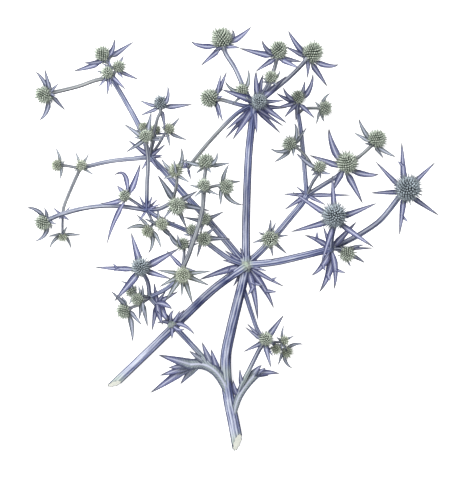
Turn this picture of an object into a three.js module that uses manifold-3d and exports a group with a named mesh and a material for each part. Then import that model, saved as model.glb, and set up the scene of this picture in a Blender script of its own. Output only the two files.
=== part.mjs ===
// A cut stem of sea holly, lying on a table: one forking stem with spiny whorls, leaves and
// bracts, and a dense cone of florets at the end of each stalk.
import * as THREE from "three";
import Module from "manifold-3d";
import { mergeVertices } from "three/addons/utils/BufferGeometryUtils.js";

// ---- Driving dimensions, in millimetres ----

const SPRAY_LENGTH = 278; // from the cut end to the furthest bract tip
const PLAN_LENGTH = 427.5; // the same length in steps of the plan
const STEP = SPRAY_LENGTH / PLAN_LENGTH; // one step of the plan
const PLAN_MIDDLE = [233, 239.45]; // the middle of the plan, in steps right and down

// Bracts
const BRACT_THICKNESS = 1.0; // depth of a bract's keel, where it is widest
const BRACT_WIDTH_SHARE = 0.16; // a bract's width over its length
const BRACT_LEAST_WIDTH = 1.7;
const BRACT_FULLEST = 0.34; // how far along a blade it is widest
const BRACT_TAPER = 0.8; // power that a bract narrows to its tip by
const LONG_BRACT = 23; // bracts over this length have a bend more
const LONG_BENDS = [0.34, 0.68]; // how far along their bends are
const SHORT_BENDS = [0.42];
const HUB_SHARE = 0.45; // how far out bracts run before they bend, over the head's width
const BRACT_CLEARANCE = 0.9; // from a bract's middle line to the head that it passes
const BEND_STEP = 0.25; // how far a bend moves at each try to clear the head
const MOST_TRIES = 16;
const TOOTH_WIDTH_SHARE = 0.5; // a tooth's width over its bract's
const TOOTH_RISE = 0.8;

// Rings of bracts
const LEAST_BRACTS = 4;
const MOST_BRACTS = 11;
const LEAST_SIDES = 3;
const WIDEST_GAP = THREE.MathUtils.degToRad(125); // between the bracts that face the table
const ELBOW_ROOM = THREE.MathUtils.degToRad(5); // between bracts of one ring
const EVENING = 0.6; // how far the sides of a ring turn from an even spacing to face their bracts
const RING_LIFT = 0.12; // how far a ring's bracts rise above square, over their run
const STEEPEST_FALL = 0.5; // over the run
const STEEPEST_RISE = 0.6;
const SPLAY = 0.7; // how far the bracts of a ring on edge splay up and down, over the most they can
const ON_EDGE = 0.3; // upward part of the axis of a ring that stands on edge
const FACING_UP = 0.8; // and of a ring that lies open to the sky
const LEAST_REACH = 3; // length of a ring's longest bract, over its hub
const FILLER_REACH = 0.75; // length of the bracts that fill gaps, over that of the longest
const TABLE_REACH = -0.25; // bracts that would fall below the table are bent to end at this height

// Stalks and leaves
const ROOT_SHARE = 0.45; // a stalk's thickness at its root, in the stem, over its thickness above
const NECK_SHARE = 0.3; // length of the neck that widens under a head, over the head's length
const RECEPTACLE_SHARE = 0.26; // radius of the disc under a head, over the head's width
const SHEATH_FLATNESS = 0.5; // a leaf sheath's depth over its width
const LOBE_ROOT_SHARE = 0.8; // width of a leaf's lobe at its root, over its widest

// Heads
const SEAT_GAP = 0.35; // clearance between a head and the disc it sits on
const SPINE_LENGTH_SHARE = 0.34; // how far a floret's point stands out, over the core's radius
const CORE_SHARE = 0.88; // the florets' core over the head's width
const LOWEST_FLORET = -0.62; // florets stand above this height of a core of radius 1
const HEAD_BASE_SHARE = 0.74; // where a head is flat below, over half its core's length
const LARGE_HEAD = 12.7; // heads wider than this have most rows of florets
const SMALL_HEAD = 7; // and heads narrower than this the fewest
const LEAST_CLASH = 0.002; // cubic millimetres in common, past which room is cut for a head
const ROOM_GROWTH = 1.04; // size of that room over the head's

const STEM_COLOUR = 0x7277ad;
const HEAD_COLOURS = { blue: 0x7f918f, green: 0x83957c, young: 0x96a377 };

// ---- The plan ----
// Places are [right, down, height]: steps of the plan, and millimetres above the table.
// A head's turn is where it points on the plan, in degrees from right, and its lift how far it
// points up from the table. Tips are where its bracts end, [right, down] or with a third number,
// how far that tip stands above the ring of bracts. via is a place that a bract bends through.

const MAIN_FORK = [246, 265, 22];
const CROWN_FORK = [254, 107, 38];
const RIGHT_FORK = [331, 249, 25];
const FAR_FORK = [307, 195, 11];
const LEFT_FORK = [150, 157, 25];
const UPPER_LEFT_FORK = [113, 80, 21];
const OUTER_LEFT_NODE = [80, 168, 12];
const MIDDLE_LEFT_FORK = [147, 210, 36];
const LOWER_LEFT_FORK = [172, 324, 20];
const CLUSTER_NODE = [150, 297, 27];
const TALL_STALK_FOOT = [183, 268, 40];
const TALL_STALK_NODE = [204, 193, 52];

const BRANCHES = [
  {
    path: [[239.6, 455, 3.8], [234, 425, 4.2], [229, 400, 4.6], [226, 376, 5.5], [226, 355, 7.5],
      [231, 330, 10.5], [237, 305, 14.5], [243, 281, 19], MAIN_FORK],
    thick: [8.1, 6.2],
    sides: 8,
  },
  {
    path: [MAIN_FORK, [246, 230, 26], [247, 190, 31], [249, 150, 35], CROWN_FORK],
    thick: [5.6, 4.9],
    sides: 7,
  },
  { path: [MAIN_FORK, [275, 262, 24], [300, 256.5, 25], RIGHT_FORK], thick: [4.9, 4.7] },
  {
    path: [MAIN_FORK, [262, 250, 19], [275, 236, 15.5], [290, 218, 12.5], [303, 202, 11], FAR_FORK],
    thick: [4.4, 3.7],
  },
  { path: [FAR_FORK, [304, 160, 13], [301, 130, 15], [298, 111, 16]], thick: [3.2, 2.9] },
  {
    path: [MAIN_FORK, [226, 241, 22], [215, 228, 22], [200, 211, 22], [182, 192, 23],
      [165, 172, 24], LEFT_FORK],
    thick: [4.6, 3.7],
  },
  { path: [LEFT_FORK, [139, 126, 24], [126, 102, 22.5], UPPER_LEFT_FORK], thick: [3.8, 3.1] },
  { path: [LEFT_FORK, [140, 158, 23], [110, 161, 16], OUTER_LEFT_NODE], thick: [3.3, 2.9] },
  { path: [OUTER_LEFT_NODE, [70, 190, 8], [63, 208, 6.5], [62, 217, 6]], thick: [2.3, 2.1] },
  {
    path: [MAIN_FORK, [230, 259, 25.5], [210, 245, 29], [192, 233, 32], [165, 221, 35],
      MIDDLE_LEFT_FORK],
    thick: [3.6, 3],
  },
  {
    path: [[246, 266, 24.5], [215, 288, 18], [183, 318, 11.5], [150, 350, 6.5], [106, 392, 2.6]],
    thick: [5.4, 5.8],
    sides: 6,
  },
  {
    path: [[223, 380, 6], [207, 362, 9], [190, 343, 14], LOWER_LEFT_FORK],
    thick: [3.9, 3.5],
  },
  { path: [LOWER_LEFT_FORK, [160, 309, 24], CLUSTER_NODE], thick: [3.6, 3.3] },
  { path: [CLUSTER_NODE, [166, 289, 32], [177, 279, 37], TALL_STALK_FOOT], thick: [3.1, 2.7] },
  {
    path: [TALL_STALK_FOOT, [188, 257, 43], [194, 240, 47], [199, 225, 49], [203, 207, 51],
      TALL_STALK_NODE],
    thick: [3.3, 2.9],
  },
  { path: [[253, 105, 37], [238, 113, 38], [212, 139, 41], [188, 168, 42]], thick: [3.1, 2.7] },
  { path: [[244, 290, 17], [252, 315, 11], [259, 333, 7], [268, 342, 6]], thick: [3.1, 2.7] },
];

const HEADS = [
  // upper left
  { name: "upper_left_1", at: [44, 94, 9.5], wide: 10.4, long: 11, turn: 193, lift: -6,
    stalk: [UPPER_LEFT_FORK, [100, 79, 20], [78, 86, 15]], thick: 2.9, tone: "green",
    tips: [[35, 71, 3], [44.5, 68, 7], [59, 83, 9], [65, 110, -6], [38, 120, -5], [56, 96, 12],
      [51, 103, -8]] },
  { name: "upper_left_2", at: [103, 55, 20], wide: 9.1, long: 11.7, turn: 124, lift: 0,
    stalk: [UPPER_LEFT_FORK], thick: 2.3, tone: "green",
    tips: [[114.5, 39], [134, 41], [84, 63], [73, 71]] },
  { name: "upper_left_3", at: [119, 67, 30], wide: 7.2, long: 7.8, turn: 55, lift: 25,
    stalk: [UPPER_LEFT_FORK], thick: 2, tone: "green",
    tips: [[138.5, 79.5], [124, 55], [124, 79]] },
  { name: "upper_left_4", at: [107.5, 73, 33], wide: 7.4, long: 7.4, turn: 150, lift: 55,
    stalk: [UPPER_LEFT_FORK], thick: 2, tone: "green",
    tips: [[98, 88], [107.5, 96], [112, 88.5], [126, 90]] },
  // left shoulder
  { name: "shoulder_1", at: [161, 103, 31], wide: 7.8, long: 9.1, turn: 88, lift: 5,
    stalk: [LEFT_FORK, [153, 138, 28], [158, 118, 30]], thick: 2.2, tone: "blue",
    tips: [[167.5, 85, 4], [193, 104.5, 0], [140, 100.5, -3], [140, 116, 2], [165, 131, -4]] },
  { name: "shoulder_2", at: [155, 130, 20], wide: 6.5, long: 6, turn: 90, lift: 5,
    stalk: [LEFT_FORK], thick: 1.8, tone: "young", tips: [] },
  { name: "shoulder_3", at: [169, 129, 25], wide: 6.2, long: 6.5, turn: 50, lift: 20,
    stalk: [LEFT_FORK, [159, 144, 24]], thick: 2, tone: "young",
    tips: [[180, 117, -2], [187, 140], [170, 147], [161, 126]] },
  { name: "shoulder_4", at: [146, 136.5, 46], wide: 7.8, long: 8.5, turn: 95, lift: 45,
    stalk: [MIDDLE_LEFT_FORK, [147.5, 185, 37], [148.5, 160, 38]], thick: 2.9, tone: "green",
    tips: [[124, 124], [151.5, 112], [126, 153], [168, 136.5], [165, 140.5], [133, 137]] },
  { name: "shoulder_5", at: [144, 127, 36], wide: 5.2, long: 5.2, turn: 95, lift: 5,
    stalk: [[148.3, 158, 38], [147, 145, 37]], thick: 1.7, tone: "young", tips: [] },
  // outer left
  { name: "outer_left_1", at: [57, 165, 10], wide: 6.5, long: 7.8, turn: 178, lift: 0,
    stalk: [OUTER_LEFT_NODE], thick: 2, tone: "young",
    tips: [[55, 147], [64, 160], [60, 180]] },
  { name: "outer_left_2", at: [81, 165, 19], wide: 6.2, long: 6.5, turn: 95, lift: 60,
    stalk: [OUTER_LEFT_NODE], thick: 2, tone: "young",
    tips: [[75, 151], [89, 153], [94, 175], [74, 171]] },
  { name: "outer_left_3", at: [62, 237, 5.5], wide: 4.9, long: 5.2, turn: 272, lift: 0,
    stalk: [[62, 216, 6]], thick: 1.7, tone: "young",
    tips: [[47, 236.5], [82, 235], [49, 249], [70, 249], [67, 226]] },
  { name: "left_tip", at: [43, 222, 10.5], wide: 9.8, long: 9.8, turn: 205, lift: -8,
    stalk: [MIDDLE_LEFT_FORK, [120, 206, 32], [100, 206, 28], [80, 209, 22], [60, 214.5, 16]],
    thick: 3.2, tone: "blue",
    tips: [[26, 208, 4], [44, 206, 6], [57, 224.5, 8], [34, 241, -4], [51, 229, -7]] },
  // middle left
  { name: "middle_left_1", at: [125, 196, 41], wide: 6.5, long: 7.2, turn: 150, lift: 25,
    stalk: [MIDDLE_LEFT_FORK], thick: 2.3, tone: "green",
    tips: [{ via: [123, 180, 3], to: [114, 176, 4], wide: 2.6 },
      { via: [136, 182, -1], to: [141, 163, 3] },
      [100, 203.5, -3], { via: [113, 218, -4], to: [107, 245, -8], wide: 2.9 }] },
  { name: "middle_left_2", at: [162, 224, 41], wide: 7.2, long: 7.4, turn: 20, lift: 45,
    stalk: [MIDDLE_LEFT_FORK, [153, 222, 36]], thick: 2, tone: "young",
    tips: [[176, 222], [179, 243]] },
  { name: "middle_left_3", at: [148, 231, 29], wide: 7.2, long: 7.8, turn: 235, lift: 10,
    stalk: [[153, 222, 36]], thick: 2, tone: "young",
    tips: [[126, 230], [148, 254], [161, 248], [136, 214]] },
  { name: "middle_left_4", at: [177, 206, 47], wide: 10.4, long: 11.7, turn: 290, lift: 65,
    stalk: [MIDDLE_LEFT_FORK, [160, 209, 37]], thick: 3, tone: "green",
    tips: [[158, 175], { to: [198, 191, 1], wide: 3.6 }, [210, 211], [163, 220], [187, 229]] },
  { name: "middle_left_5", at: [176, 171, 56], wide: 7.8, long: 8.5, turn: 100, lift: 20,
    stalk: [[171, 205, 39], [176, 190, 50]], thick: 2.3, tone: "young",
    tips: [[181.5, 148], [162, 159], [174, 159, 7], [163, 179], [190, 183]] },
  // the tall inner stalk
  { name: "inner_tall_1", at: [206, 162, 56], wide: 9.8, long: 9.8, turn: 88, lift: 12,
    stalk: [TALL_STALK_NODE, [204.5, 181, 54]], thick: 2.6, tone: "green",
    tips: [[217, 152], [231, 163], [181, 160], [196, 174], [212, 174]] },
  { name: "inner_tall_2", at: [204, 185.5, 61], wide: 7.2, long: 8, turn: 92, lift: 40,
    stalk: [TALL_STALK_NODE], thick: 2.2, tone: "green",
    tips: [[189, 185], [194, 198], [220, 196], [211, 195]] },
  { name: "inner_tall_3", at: [226, 187, 55], wide: 9.1, long: 9.1, turn: 355, lift: 10,
    stalk: [TALL_STALK_NODE, [210, 188, 53]], thick: 2.2, tone: "green",
    tips: [[229, 165], [241, 182], [221, 206], [243, 205]] },
  // inner left
  { name: "inner_1", at: [183, 275, 50], wide: 9.4, long: 9.6, turn: 270, lift: 78,
    stalk: [[176, 280, 36.5], [181, 277, 40]], thick: 2.6, tone: "young",
    tips: [[157, 270], [211, 271], [210, 285.5], [182, 297], [193, 304], [159, 287], [165, 302]] },
  { name: "inner_2", at: [183, 244, 38], wide: 7.2, long: 8, turn: 100, lift: 20,
    stalk: [TALL_STALK_FOOT], thick: 2.1, tone: "green", tips: [[178, 233], [169, 229, 3]] },
  { name: "inner_3", at: [192, 230, 40], wide: 5.6, long: 8.4, turn: 90, lift: 5,
    stalk: [TALL_STALK_FOOT, [189, 252, 40]], thick: 2, tone: "green", tips: [] },
  { name: "inner_4", at: [204, 239, 38], wide: 8.4, long: 8.6, turn: 330, lift: 65,
    stalk: [[210, 245, 29]], thick: 2.1, tone: "green",
    tips: [[231, 239], [197, 258], [218, 225], [187, 241, -5]] },
  { name: "inner_5", at: [204.5, 219, 31], wide: 7.2, long: 8.4, turn: 60, lift: 50,
    stalk: [[203, 215, 22]], thick: 2.1, tone: "green",
    tips: [[224, 211.5], [183, 217], [218, 228]] },
  // lower left cluster
  { name: "cluster_1", at: [141, 267, 42], wide: 11, long: 11.4, turn: 110, lift: 65,
    stalk: [CLUSTER_NODE, [148, 282, 31]], thick: 3, tone: "blue",
    tips: [{ to: [94, 267, 0], wide: 3.8, teeth: [[113, 263], [114, 271]] }, [131, 232],
      [114, 302], [180, 248], [172, 279]] },
  { name: "cluster_2", at: [138, 299, 35], wide: 7.4, long: 8.4, turn: 180, lift: 15,
    stalk: [CLUSTER_NODE], thick: 2.1, tone: "green",
    tips: [[143, 284], [148, 327], [144, 316], [139, 320]] },
  { name: "cluster_3", at: [131, 291, 24], wide: 6.5, long: 7.2, turn: 155, lift: 0,
    stalk: [CLUSTER_NODE], thick: 1.8, tone: "green", tips: [[120, 281, 3], [136, 284]] },
  { name: "cluster_4", at: [124, 311, 19], wide: 9.1, long: 9.1, turn: 205, lift: -5,
    stalk: [CLUSTER_NODE, [140, 304, 24]], thick: 2.3, tone: "green",
    tips: [[111, 291], [132.5, 342], [142, 325], [121, 296]] },
  // lower right
  { name: "lower_right_1", at: [266, 339, 21], wide: 8, long: 8.6, turn: 60, lift: 45,
    stalk: [[236, 402, 5], [241, 387, 8], [250, 369, 10.5], [259, 351, 13]], thick: 3.2,
    tone: "green",
    tips: [[284, 315], [247, 323.5], [245, 327], [243, 352], [271, 368], [273, 357]] },
  { name: "lower_right_2", at: [276, 349.5, 12.5], wide: 5.6, long: 6, turn: 290, lift: 45,
    stalk: [[267, 341, 6.1]], thick: 1.8, tone: "young", tips: [] },
  { name: "lower_right_3", at: [284.5, 340.5, 13], wide: 5.2, long: 5.2, turn: 20, lift: 20,
    stalk: [[267, 341, 6.1], [273, 342, 6.6]], thick: 1.8, tone: "young",
    tips: [[284, 325], [295, 336]] },
  { name: "lower_right_4", at: [287, 352.5, 6.5], wide: 6.5, long: 6.5, turn: 330, lift: 0,
    stalk: [[267, 341, 6.1], [274, 344, 6]], thick: 1.8, tone: "young",
    tips: [[304, 345], [293, 369], [278, 366]] },
  // crown
  { name: "crown_1", at: [259, 102, 51], wide: 9.4, long: 9.8, turn: 40, lift: 70,
    stalk: [CROWN_FORK], thick: 3.4, tone: "green",
    tips: [[221, 90], [256, 72, 5], [263, 74], [287, 76], [284, 101],
      [287, 124]] },
  { name: "crown_2", at: [242, 91, 46], wide: 7.4, long: 8, turn: 115, lift: 25,
    stalk: [CROWN_FORK], thick: 2.3, tone: "green", tips: [[225, 81], [248, 70]] },
  { name: "crown_3", at: [271, 78, 50], wide: 7.4, long: 8.6, turn: 80, lift: 15,
    stalk: [CROWN_FORK, [264, 94, 43]], thick: 2.3, tone: "green", tips: [[280, 70, -2]] },
  { name: "crown_4", at: [278, 52, 42], wide: 10.4, long: 12, turn: 80, lift: 5,
    stalk: [CROWN_FORK, [264, 92, 38], [272, 76, 39.5]], thick: 2.9, tone: "green",
    tips: [[262, 41], [239, 49, 4], [255, 73], [302, 62], [300, 70]] },
  { name: "crown_5", at: [222, 39, 15], wide: 13, long: 14.3, turn: 105, lift: -5,
    stalk: [CROWN_FORK, [244, 88, 33], [235, 68, 25]], thick: 3.2, tone: "blue",
    tips: [[191, 41, 2], [251.5, 26, 3], [200, 66, -6], [232, 28, -10], [240, 48, 12],
      [213, 51, 11]] },
  { name: "crown_6", at: [312, 53, 16], wide: 12.4, long: 13, turn: 50, lift: -5,
    stalk: [CROWN_FORK, [276, 89, 33], [290, 77, 26]], thick: 3.1, tone: "blue",
    tips: [[288, 30, 3], [284, 46, 8], [339, 64, 2], [328, 87, -4], [307, 79, 9]] },
  { name: "crown_7", at: [210, 98, 24], wide: 11, long: 11.7, turn: 172, lift: -5,
    stalk: [CROWN_FORK, [242, 105.5, 35], [230, 102, 30]], thick: 2.9, tone: "green",
    tips: [[221, 74, 2], [227, 71, -4], [223, 122, 3], [219, 120, -3], [224, 96, 9]] },
  { name: "crown_8", at: [298, 98, 21], wide: 7.8, long: 9.1, turn: 90, lift: 8,
    stalk: [[298, 113, 16]], thick: 3, tone: "green",
    tips: [[283, 87], [305, 80], [313, 73], [275, 108], [284, 118], [296, 121], [315, 119],
      [284, 105], [276, 93]] },
  { name: "crown_9", at: [325, 108, 15], wide: 8.5, long: 8.5, turn: 0, lift: -5,
    stalk: [[298, 114, 15.8], [304, 109, 16]], thick: 2.2, tone: "green",
    tips: [[331, 93], [315, 101], [316, 125], [325, 122]] },
  // far right
  { name: "far_right_1", at: [290, 144, 21], wide: 8.5, long: 9.1, turn: 150, lift: 10,
    stalk: [[316, 172, 19], [306, 156, 20]], thick: 2, tone: "green",
    tips: [[294, 123], [307, 127], [270, 148], [274, 162], [293, 157], [302, 146]] },
  { name: "far_right_2", at: [320, 167, 25], wide: 6.8, long: 7.8, turn: 75, lift: 25,
    stalk: [FAR_FORK, [313, 182, 17]], thick: 2.3, tone: "green",
    tips: [[296, 153], [310, 170], [311, 176], [321, 179], [331, 174]] },
  { name: "far_right_3", at: [347, 163, 24], wide: 13, long: 14, turn: 60, lift: 30,
    stalk: [FAR_FORK, [325, 184, 13]], thick: 3.2, tone: "green",
    tips: [[329, 128], [309, 155], [379, 174], [363, 204], [330, 195]] },
  { name: "far_right_4", at: [377, 139, 14], wide: 11, long: 11.7, turn: 50, lift: 5,
    stalk: [[337, 176, 16], [352, 163, 11]], thick: 2.6, tone: "green",
    tips: [[359, 118], [354, 132], [396, 157], [384, 158], [364, 144]] },
  // right
  { name: "right_1", at: [334, 216, 49], wide: 15, long: 16.6, turn: 95, lift: 62,
    stalk: [RIGHT_FORK, [332, 236, 32]], thick: 3.4, tone: "blue",
    tips: [{ to: [332, 175], wide: 4.1 }, { to: [377, 203], wide: 4.1 },
      { to: [290, 232], wide: 4.1 }, { to: [291, 191], wide: 3.8 }, { to: [374, 248], wide: 4.1 },
      { to: [320, 265], wide: 3.8 }] },
  { name: "right_2", at: [347, 254, 30], wide: 9.1, long: 9.4, turn: 320, lift: 35,
    stalk: [RIGHT_FORK], thick: 2.3, tone: "green",
    tips: [[365, 263], [351, 267], [364, 245]] },
  { name: "right_3", at: [408, 189, 24], wide: 16.3, long: 17.4, turn: 40, lift: 62,
    stalk: [RIGHT_FORK, [350, 240, 21], [366, 231, 16], [382, 219, 10]], thick: 3.9, tone: "blue",
    tips: [{ to: [402, 141], wide: 4.3, teeth: [[398, 161]] }, { to: [375, 161], wide: 3.4 },
      { to: [370, 193], wide: 3.4 }, { to: [399, 236], wide: 4.1, teeth: [[408, 222]] },
      { to: [440, 216], wide: 3.6 }, { to: [437, 161], wide: 3.6 }] },
  { name: "main_fork_head", at: [270, 239, 27], wide: 10.4, long: 8, turn: 300, lift: 68,
    stalk: [[273, 238.5, 16]], thick: 2.9, tone: "young",
    tips: [[271, 218], [276, 222], [289, 235], [287, 254], [273, 257], [252, 243], [258, 232]] },
];

// Where the two thick stems are cut across, and where each cut faces on the plan.
const CUTS = [
  { at: [238.2, 445.5, 4], turn: -35 },
  { at: [115, 385.3, 3], turn: -90 },
];
const CUT_BLOCK = 18; // side of the block that a cut takes away

// Rings of bracts at the forks, where no head sits.
const WHORLS = [
  { at: MAIN_FORK, hub: 4.5,
    tips: [{ via: [220, 271, 4], to: [199, 280, 2], wide: 4.8, teeth: [[227, 276]] },
      [222, 260, 6], [224, 250, 7], [240, 247, 8], [236, 249, -5],
      { via: [255, 288, -2], to: [258, 321, -8], wide: 4.8, teeth: [[248, 295], [263, 286]] },
      { via: [266, 286, -4], to: [274, 309, -9], wide: 4.8, teeth: [[277, 292]] },
      { via: [266, 278, 0], to: [285, 287, -3], wide: 3.1, teeth: [[277, 277]] },
      [275, 259, 4], [267, 271, 4], [233, 287, -6]] },
  { at: CROWN_FORK, hub: 3.2,
    tips: [{ to: [284, 127, -2], wide: 3.1 }, { to: [281, 134, -8], wide: 3.6 }, [257, 135, 6],
      { to: [225, 131, 0], wide: 3.4 }, { to: [224, 140, -8], wide: 3.6 }, [232, 141, 3],
      [263, 74, -10], [287, 108, -8]] },
  { at: LEFT_FORK, hub: 2.4,
    tips: [[128, 140, 5], [134, 156, -6], [166, 144, 6], [164, 155, 4], [141, 171, 3],
      [159, 171, 6], [163, 157, -7]] },
  { at: [62, 216, 6], hub: 1.2,
    tips: [[52, 207], [70, 206], [69, 220, 5], [58, 219, 3]] },
  { at: MIDDLE_LEFT_FORK, hub: 2.2,
    tips: [[139, 195, 4], [153, 195, 6], [158, 199, -4], [161, 204, 5], [138, 223, 2]] },
  { at: [188, 168, 42], hub: 1.6,
    tips: [[186, 158, 3], [191, 180, -2], [181, 160, -3], [178, 166, 2]] },
  { at: TALL_STALK_FOOT, hub: 2, tips: [[166, 250, 1], [199, 272, 1]] },
  { at: LOWER_LEFT_FORK, hub: 2.6,
    tips: [[174, 309, 5], [179, 310, 7], { to: [185, 309, 2], wide: 2.4 }, [195, 335, 4],
      [185, 329, 7], [172, 339, 6], [157, 323, 5]] },
  { at: [163, 312, 23.5], hub: 2.2,
    tips: [{ to: [152, 331, 2], wide: 4.8 }, [171, 309, 6], { to: [166, 291, 2], wide: 5.3 },
      { to: [154, 282, 3], wide: 5.3 }, { to: [179, 291, 2], wide: 3.6 }] },
  { at: FAR_FORK, hub: 2.4,
    tips: [[296, 186, 5], [283, 194, 2], [284, 210, 4], { to: [353, 195, 1], wide: 2.9 },
      [326, 205, 4]] },
  { at: RIGHT_FORK, hub: 3.4,
    tips: [{ via: [319, 239, 3], to: [304, 235, 4], wide: 4.1, teeth: [[317, 231]] },
      [323, 226, 5], [357, 221, 6], { to: [375, 248, -5], wide: 3.1 },
      { via: [325, 267, 1], to: [311, 276, -2], wide: 4.8, teeth: [[325, 271]] },
      { via: [334, 270, -1], to: [319, 293, -7], wide: 6, teeth: [[330, 281]] },
      { via: [338, 270, 3], to: [334, 290, -6], wide: 4.3, teeth: [[346, 273]] },
      [323, 261, 6], [348, 238, -7]] },
];

// Stem leaves: a sheath that clasps the stem, and lobes that end in spines.
const LEAVES = [
  {
    sheath: [[224, 384, 5.5], [215, 370, 8], [203, 364.5, 8.5], [191, 363.5, 9]],
    wide: [7, 6.4],
    lobes: [
      { via: [178, 361, 12], to: [158, 355, 15], wide: 6 },
      { via: [180, 367, 9], to: [168, 368, 11], wide: 4.8 },
      { via: [178, 371, 8], to: [159, 376, 9], wide: 5.3 },
      { via: [172, 379, 6], to: [149, 394, 3], wide: 6 },
      { root: [196, 367, 9], via: [189, 373, 6], to: [180, 385, 3], wide: 4.8 },
      { root: [204, 362, 9], via: [197, 357, 13], to: [189, 351, 15], wide: 4.1 },
      { root: [212, 366, 8], via: [206, 354, 13], to: [202, 342, 14], wide: 4.3 },
      { root: [218, 372, 7], via: [214, 361, 11], to: [211, 349, 12], wide: 4.3 },
    ],
  },
  {
    sheath: [[235, 408, 5], [239, 395, 6], [248, 383, 7], [255, 375, 7.5]],
    wide: [5.4, 6],
    lobes: [
      { via: [264, 371, 8], to: [280, 374, 9], wide: 4.8 },
      { via: [261, 375, 6], to: [269, 376, 3], wide: 3.6 },
      { via: [259, 372, 10], to: [266, 368, 12], wide: 3.6 },
      { root: [252, 376, 8], via: [256, 370, 10], to: [262, 365, 12], wide: 4.3 },
      { root: [243, 388, 7], via: [240, 380, 11], to: [240, 369, 13], wide: 3.6 },
      { root: [238, 396, 6], via: [234, 390, 10], to: [233, 380, 12], wide: 3.6 },
    ],
  },
];

// ---- Placing ----

const wasm = await Module();
wasm.setup();
const UPRIGHT = new THREE.Vector3(0, 1, 0); // the way that a cone, cylinder or ball is made
const SKYWARD = new THREE.Vector3(0, 0, 1);

function place([right, down, height]) {
  return new THREE.Vector3(
    (right - PLAN_MIDDLE[0]) * STEP,
    (PLAN_MIDDLE[1] - down) * STEP,
    height,
  );
}

function pointing({ turn, lift }) {
  const around = THREE.MathUtils.degToRad(turn);
  const up = THREE.MathUtils.degToRad(lift);
  return new THREE.Vector3(
    Math.cos(up) * Math.cos(around),
    Math.cos(up) * Math.sin(around),
    Math.sin(up),
  );
}

// ---- Solids ----

function solid(geometry) {
  geometry.deleteAttribute("normal");
  geometry.deleteAttribute("uv");
  const merged = mergeVertices(geometry, 1e-4);
  return new wasm.Manifold(
    new wasm.Mesh({
      numProp: 3,
      vertProperties: new Float32Array(merged.attributes.position.array),
      triVerts: new Uint32Array(merged.index.array),
    }),
  );
}

function geometryOf(body) {
  const mesh = body.getMesh();
  const geometry = new THREE.BufferGeometry();
  geometry.setAttribute("position", new THREE.BufferAttribute(mesh.vertProperties, 3));
  geometry.setIndex(new THREE.BufferAttribute(mesh.triVerts, 1));
  return geometry;
}

// A round stem along a curve, its radius a function of how far along it is.
function roundStem(curve, steps, sides, radius) {
  const geometry = new THREE.CylinderGeometry(1, 1, 1, sides, steps);
  const frames = turningFrames(curve, steps);
  const position = geometry.attributes.position;
  for (let i = 0; i < position.count; i++) {
    const along = position.getY(i) + 0.5;
    const { side, out } = frames[Math.round(along * steps)];
    const vertex = curve.getPoint(along);
    vertex.addScaledVector(side, position.getX(i) * radius(along));
    vertex.addScaledVector(out, position.getZ(i) * radius(along));
    position.setXYZ(i, vertex.x, vertex.y, vertex.z);
  }
  return solid(geometry);
}

// Two directions across a curve at each step of it, carried along it without twisting.
function turningFrames(curve, steps) {
  const frames = [];
  const side = SKYWARD.clone().cross(curve.getTangent(0));
  if (side.length() < 0.1) side.set(1, 0, 0);
  for (let step = 0; step <= steps; step++) {
    const forward = curve.getTangent(step / steps);
    side.addScaledVector(forward, -side.dot(forward)).normalize();
    frames.push({ side: side.clone(), out: side.clone().cross(forward) });
  }
  return frames;
}

// Bends an upright unit cone or cylinder along a curve, with the side at +Z turned away from up.
// across and deep stretch it, as functions of how far along it a point is.
function bent(geometry, curve, up, across, deep) {
  const position = geometry.attributes.position;
  for (let i = 0; i < position.count; i++) {
    const along = position.getY(i) + 0.5;
    const forward = curve.getTangent(along);
    const side = new THREE.Vector3().crossVectors(up, forward).normalize();
    const out = new THREE.Vector3().crossVectors(side, forward);
    const vertex = curve.getPoint(along);
    vertex.addScaledVector(side, position.getX(i) * across(along));
    vertex.addScaledVector(out, position.getZ(i) * deep(along));
    position.setXYZ(i, vertex.x, vertex.y, vertex.z);
  }
  return solid(geometry);
}

// A pointed blade with a keel below: a three-sided cone, fullest a third of the way out.
function blade(curve, up, wide, steps, rootShare) {
  const fullness = (along) => {
    if (along < BRACT_FULLEST) return THREE.MathUtils.lerp(rootShare, 1, along / BRACT_FULLEST);
    return ((1 - along) / (1 - BRACT_FULLEST)) ** BRACT_TAPER;
  };
  const untaper = (along) => fullness(along) / Math.max(1 - along, 1e-6);
  const across = (along) => (wide / 2 / Math.sin(Math.PI / 3)) * untaper(along);
  const deep = (along) => (BRACT_THICKNESS / 1.5) * untaper(along);
  return bent(new THREE.ConeGeometry(1, 1, 3, steps), curve, up, across, deep);
}

// ---- Stalks and branches ----

function branch({ path, thick, sides = 5 }) {
  const curve = new THREE.CatmullRomCurve3(path.map(place), false, "centripetal");
  const radius = (along) => THREE.MathUtils.lerp(thick[0], thick[1], along) / 2;
  return roundStem(curve, path.length - 1, sides, radius);
}

// A head's base: the middle of the disc that the stalk ends in.
function baseOf(head) {
  const down = (head.long / 2) * CORE_SHARE * HEAD_BASE_SHARE + SEAT_GAP;
  return place(head.at).addScaledVector(pointing(head), -down);
}

// A stalk runs straight into its head and widens there into a disc, whose sides are drawn out
// into the bracts.
function stalk(head) {
  const axis = pointing(head);
  const base = baseOf(head);
  const neck = base.clone().addScaledVector(axis, -NECK_SHARE * head.long);
  const points = [...head.stalk.map(place), neck, base];
  const curve = new THREE.CatmullRomCurve3(points, false, "centripetal");
  const bracts = ringOfBracts(base, axis, head.tips, head.wide * HUB_SHARE, head);
  const radii = points.map(() => head.thick / 2);
  radii[0] *= ROOT_SHARE;
  radii[radii.length - 1] = head.wide * RECEPTACLE_SHARE;
  return starWithExtras(curve, radii, bracts);
}

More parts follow.
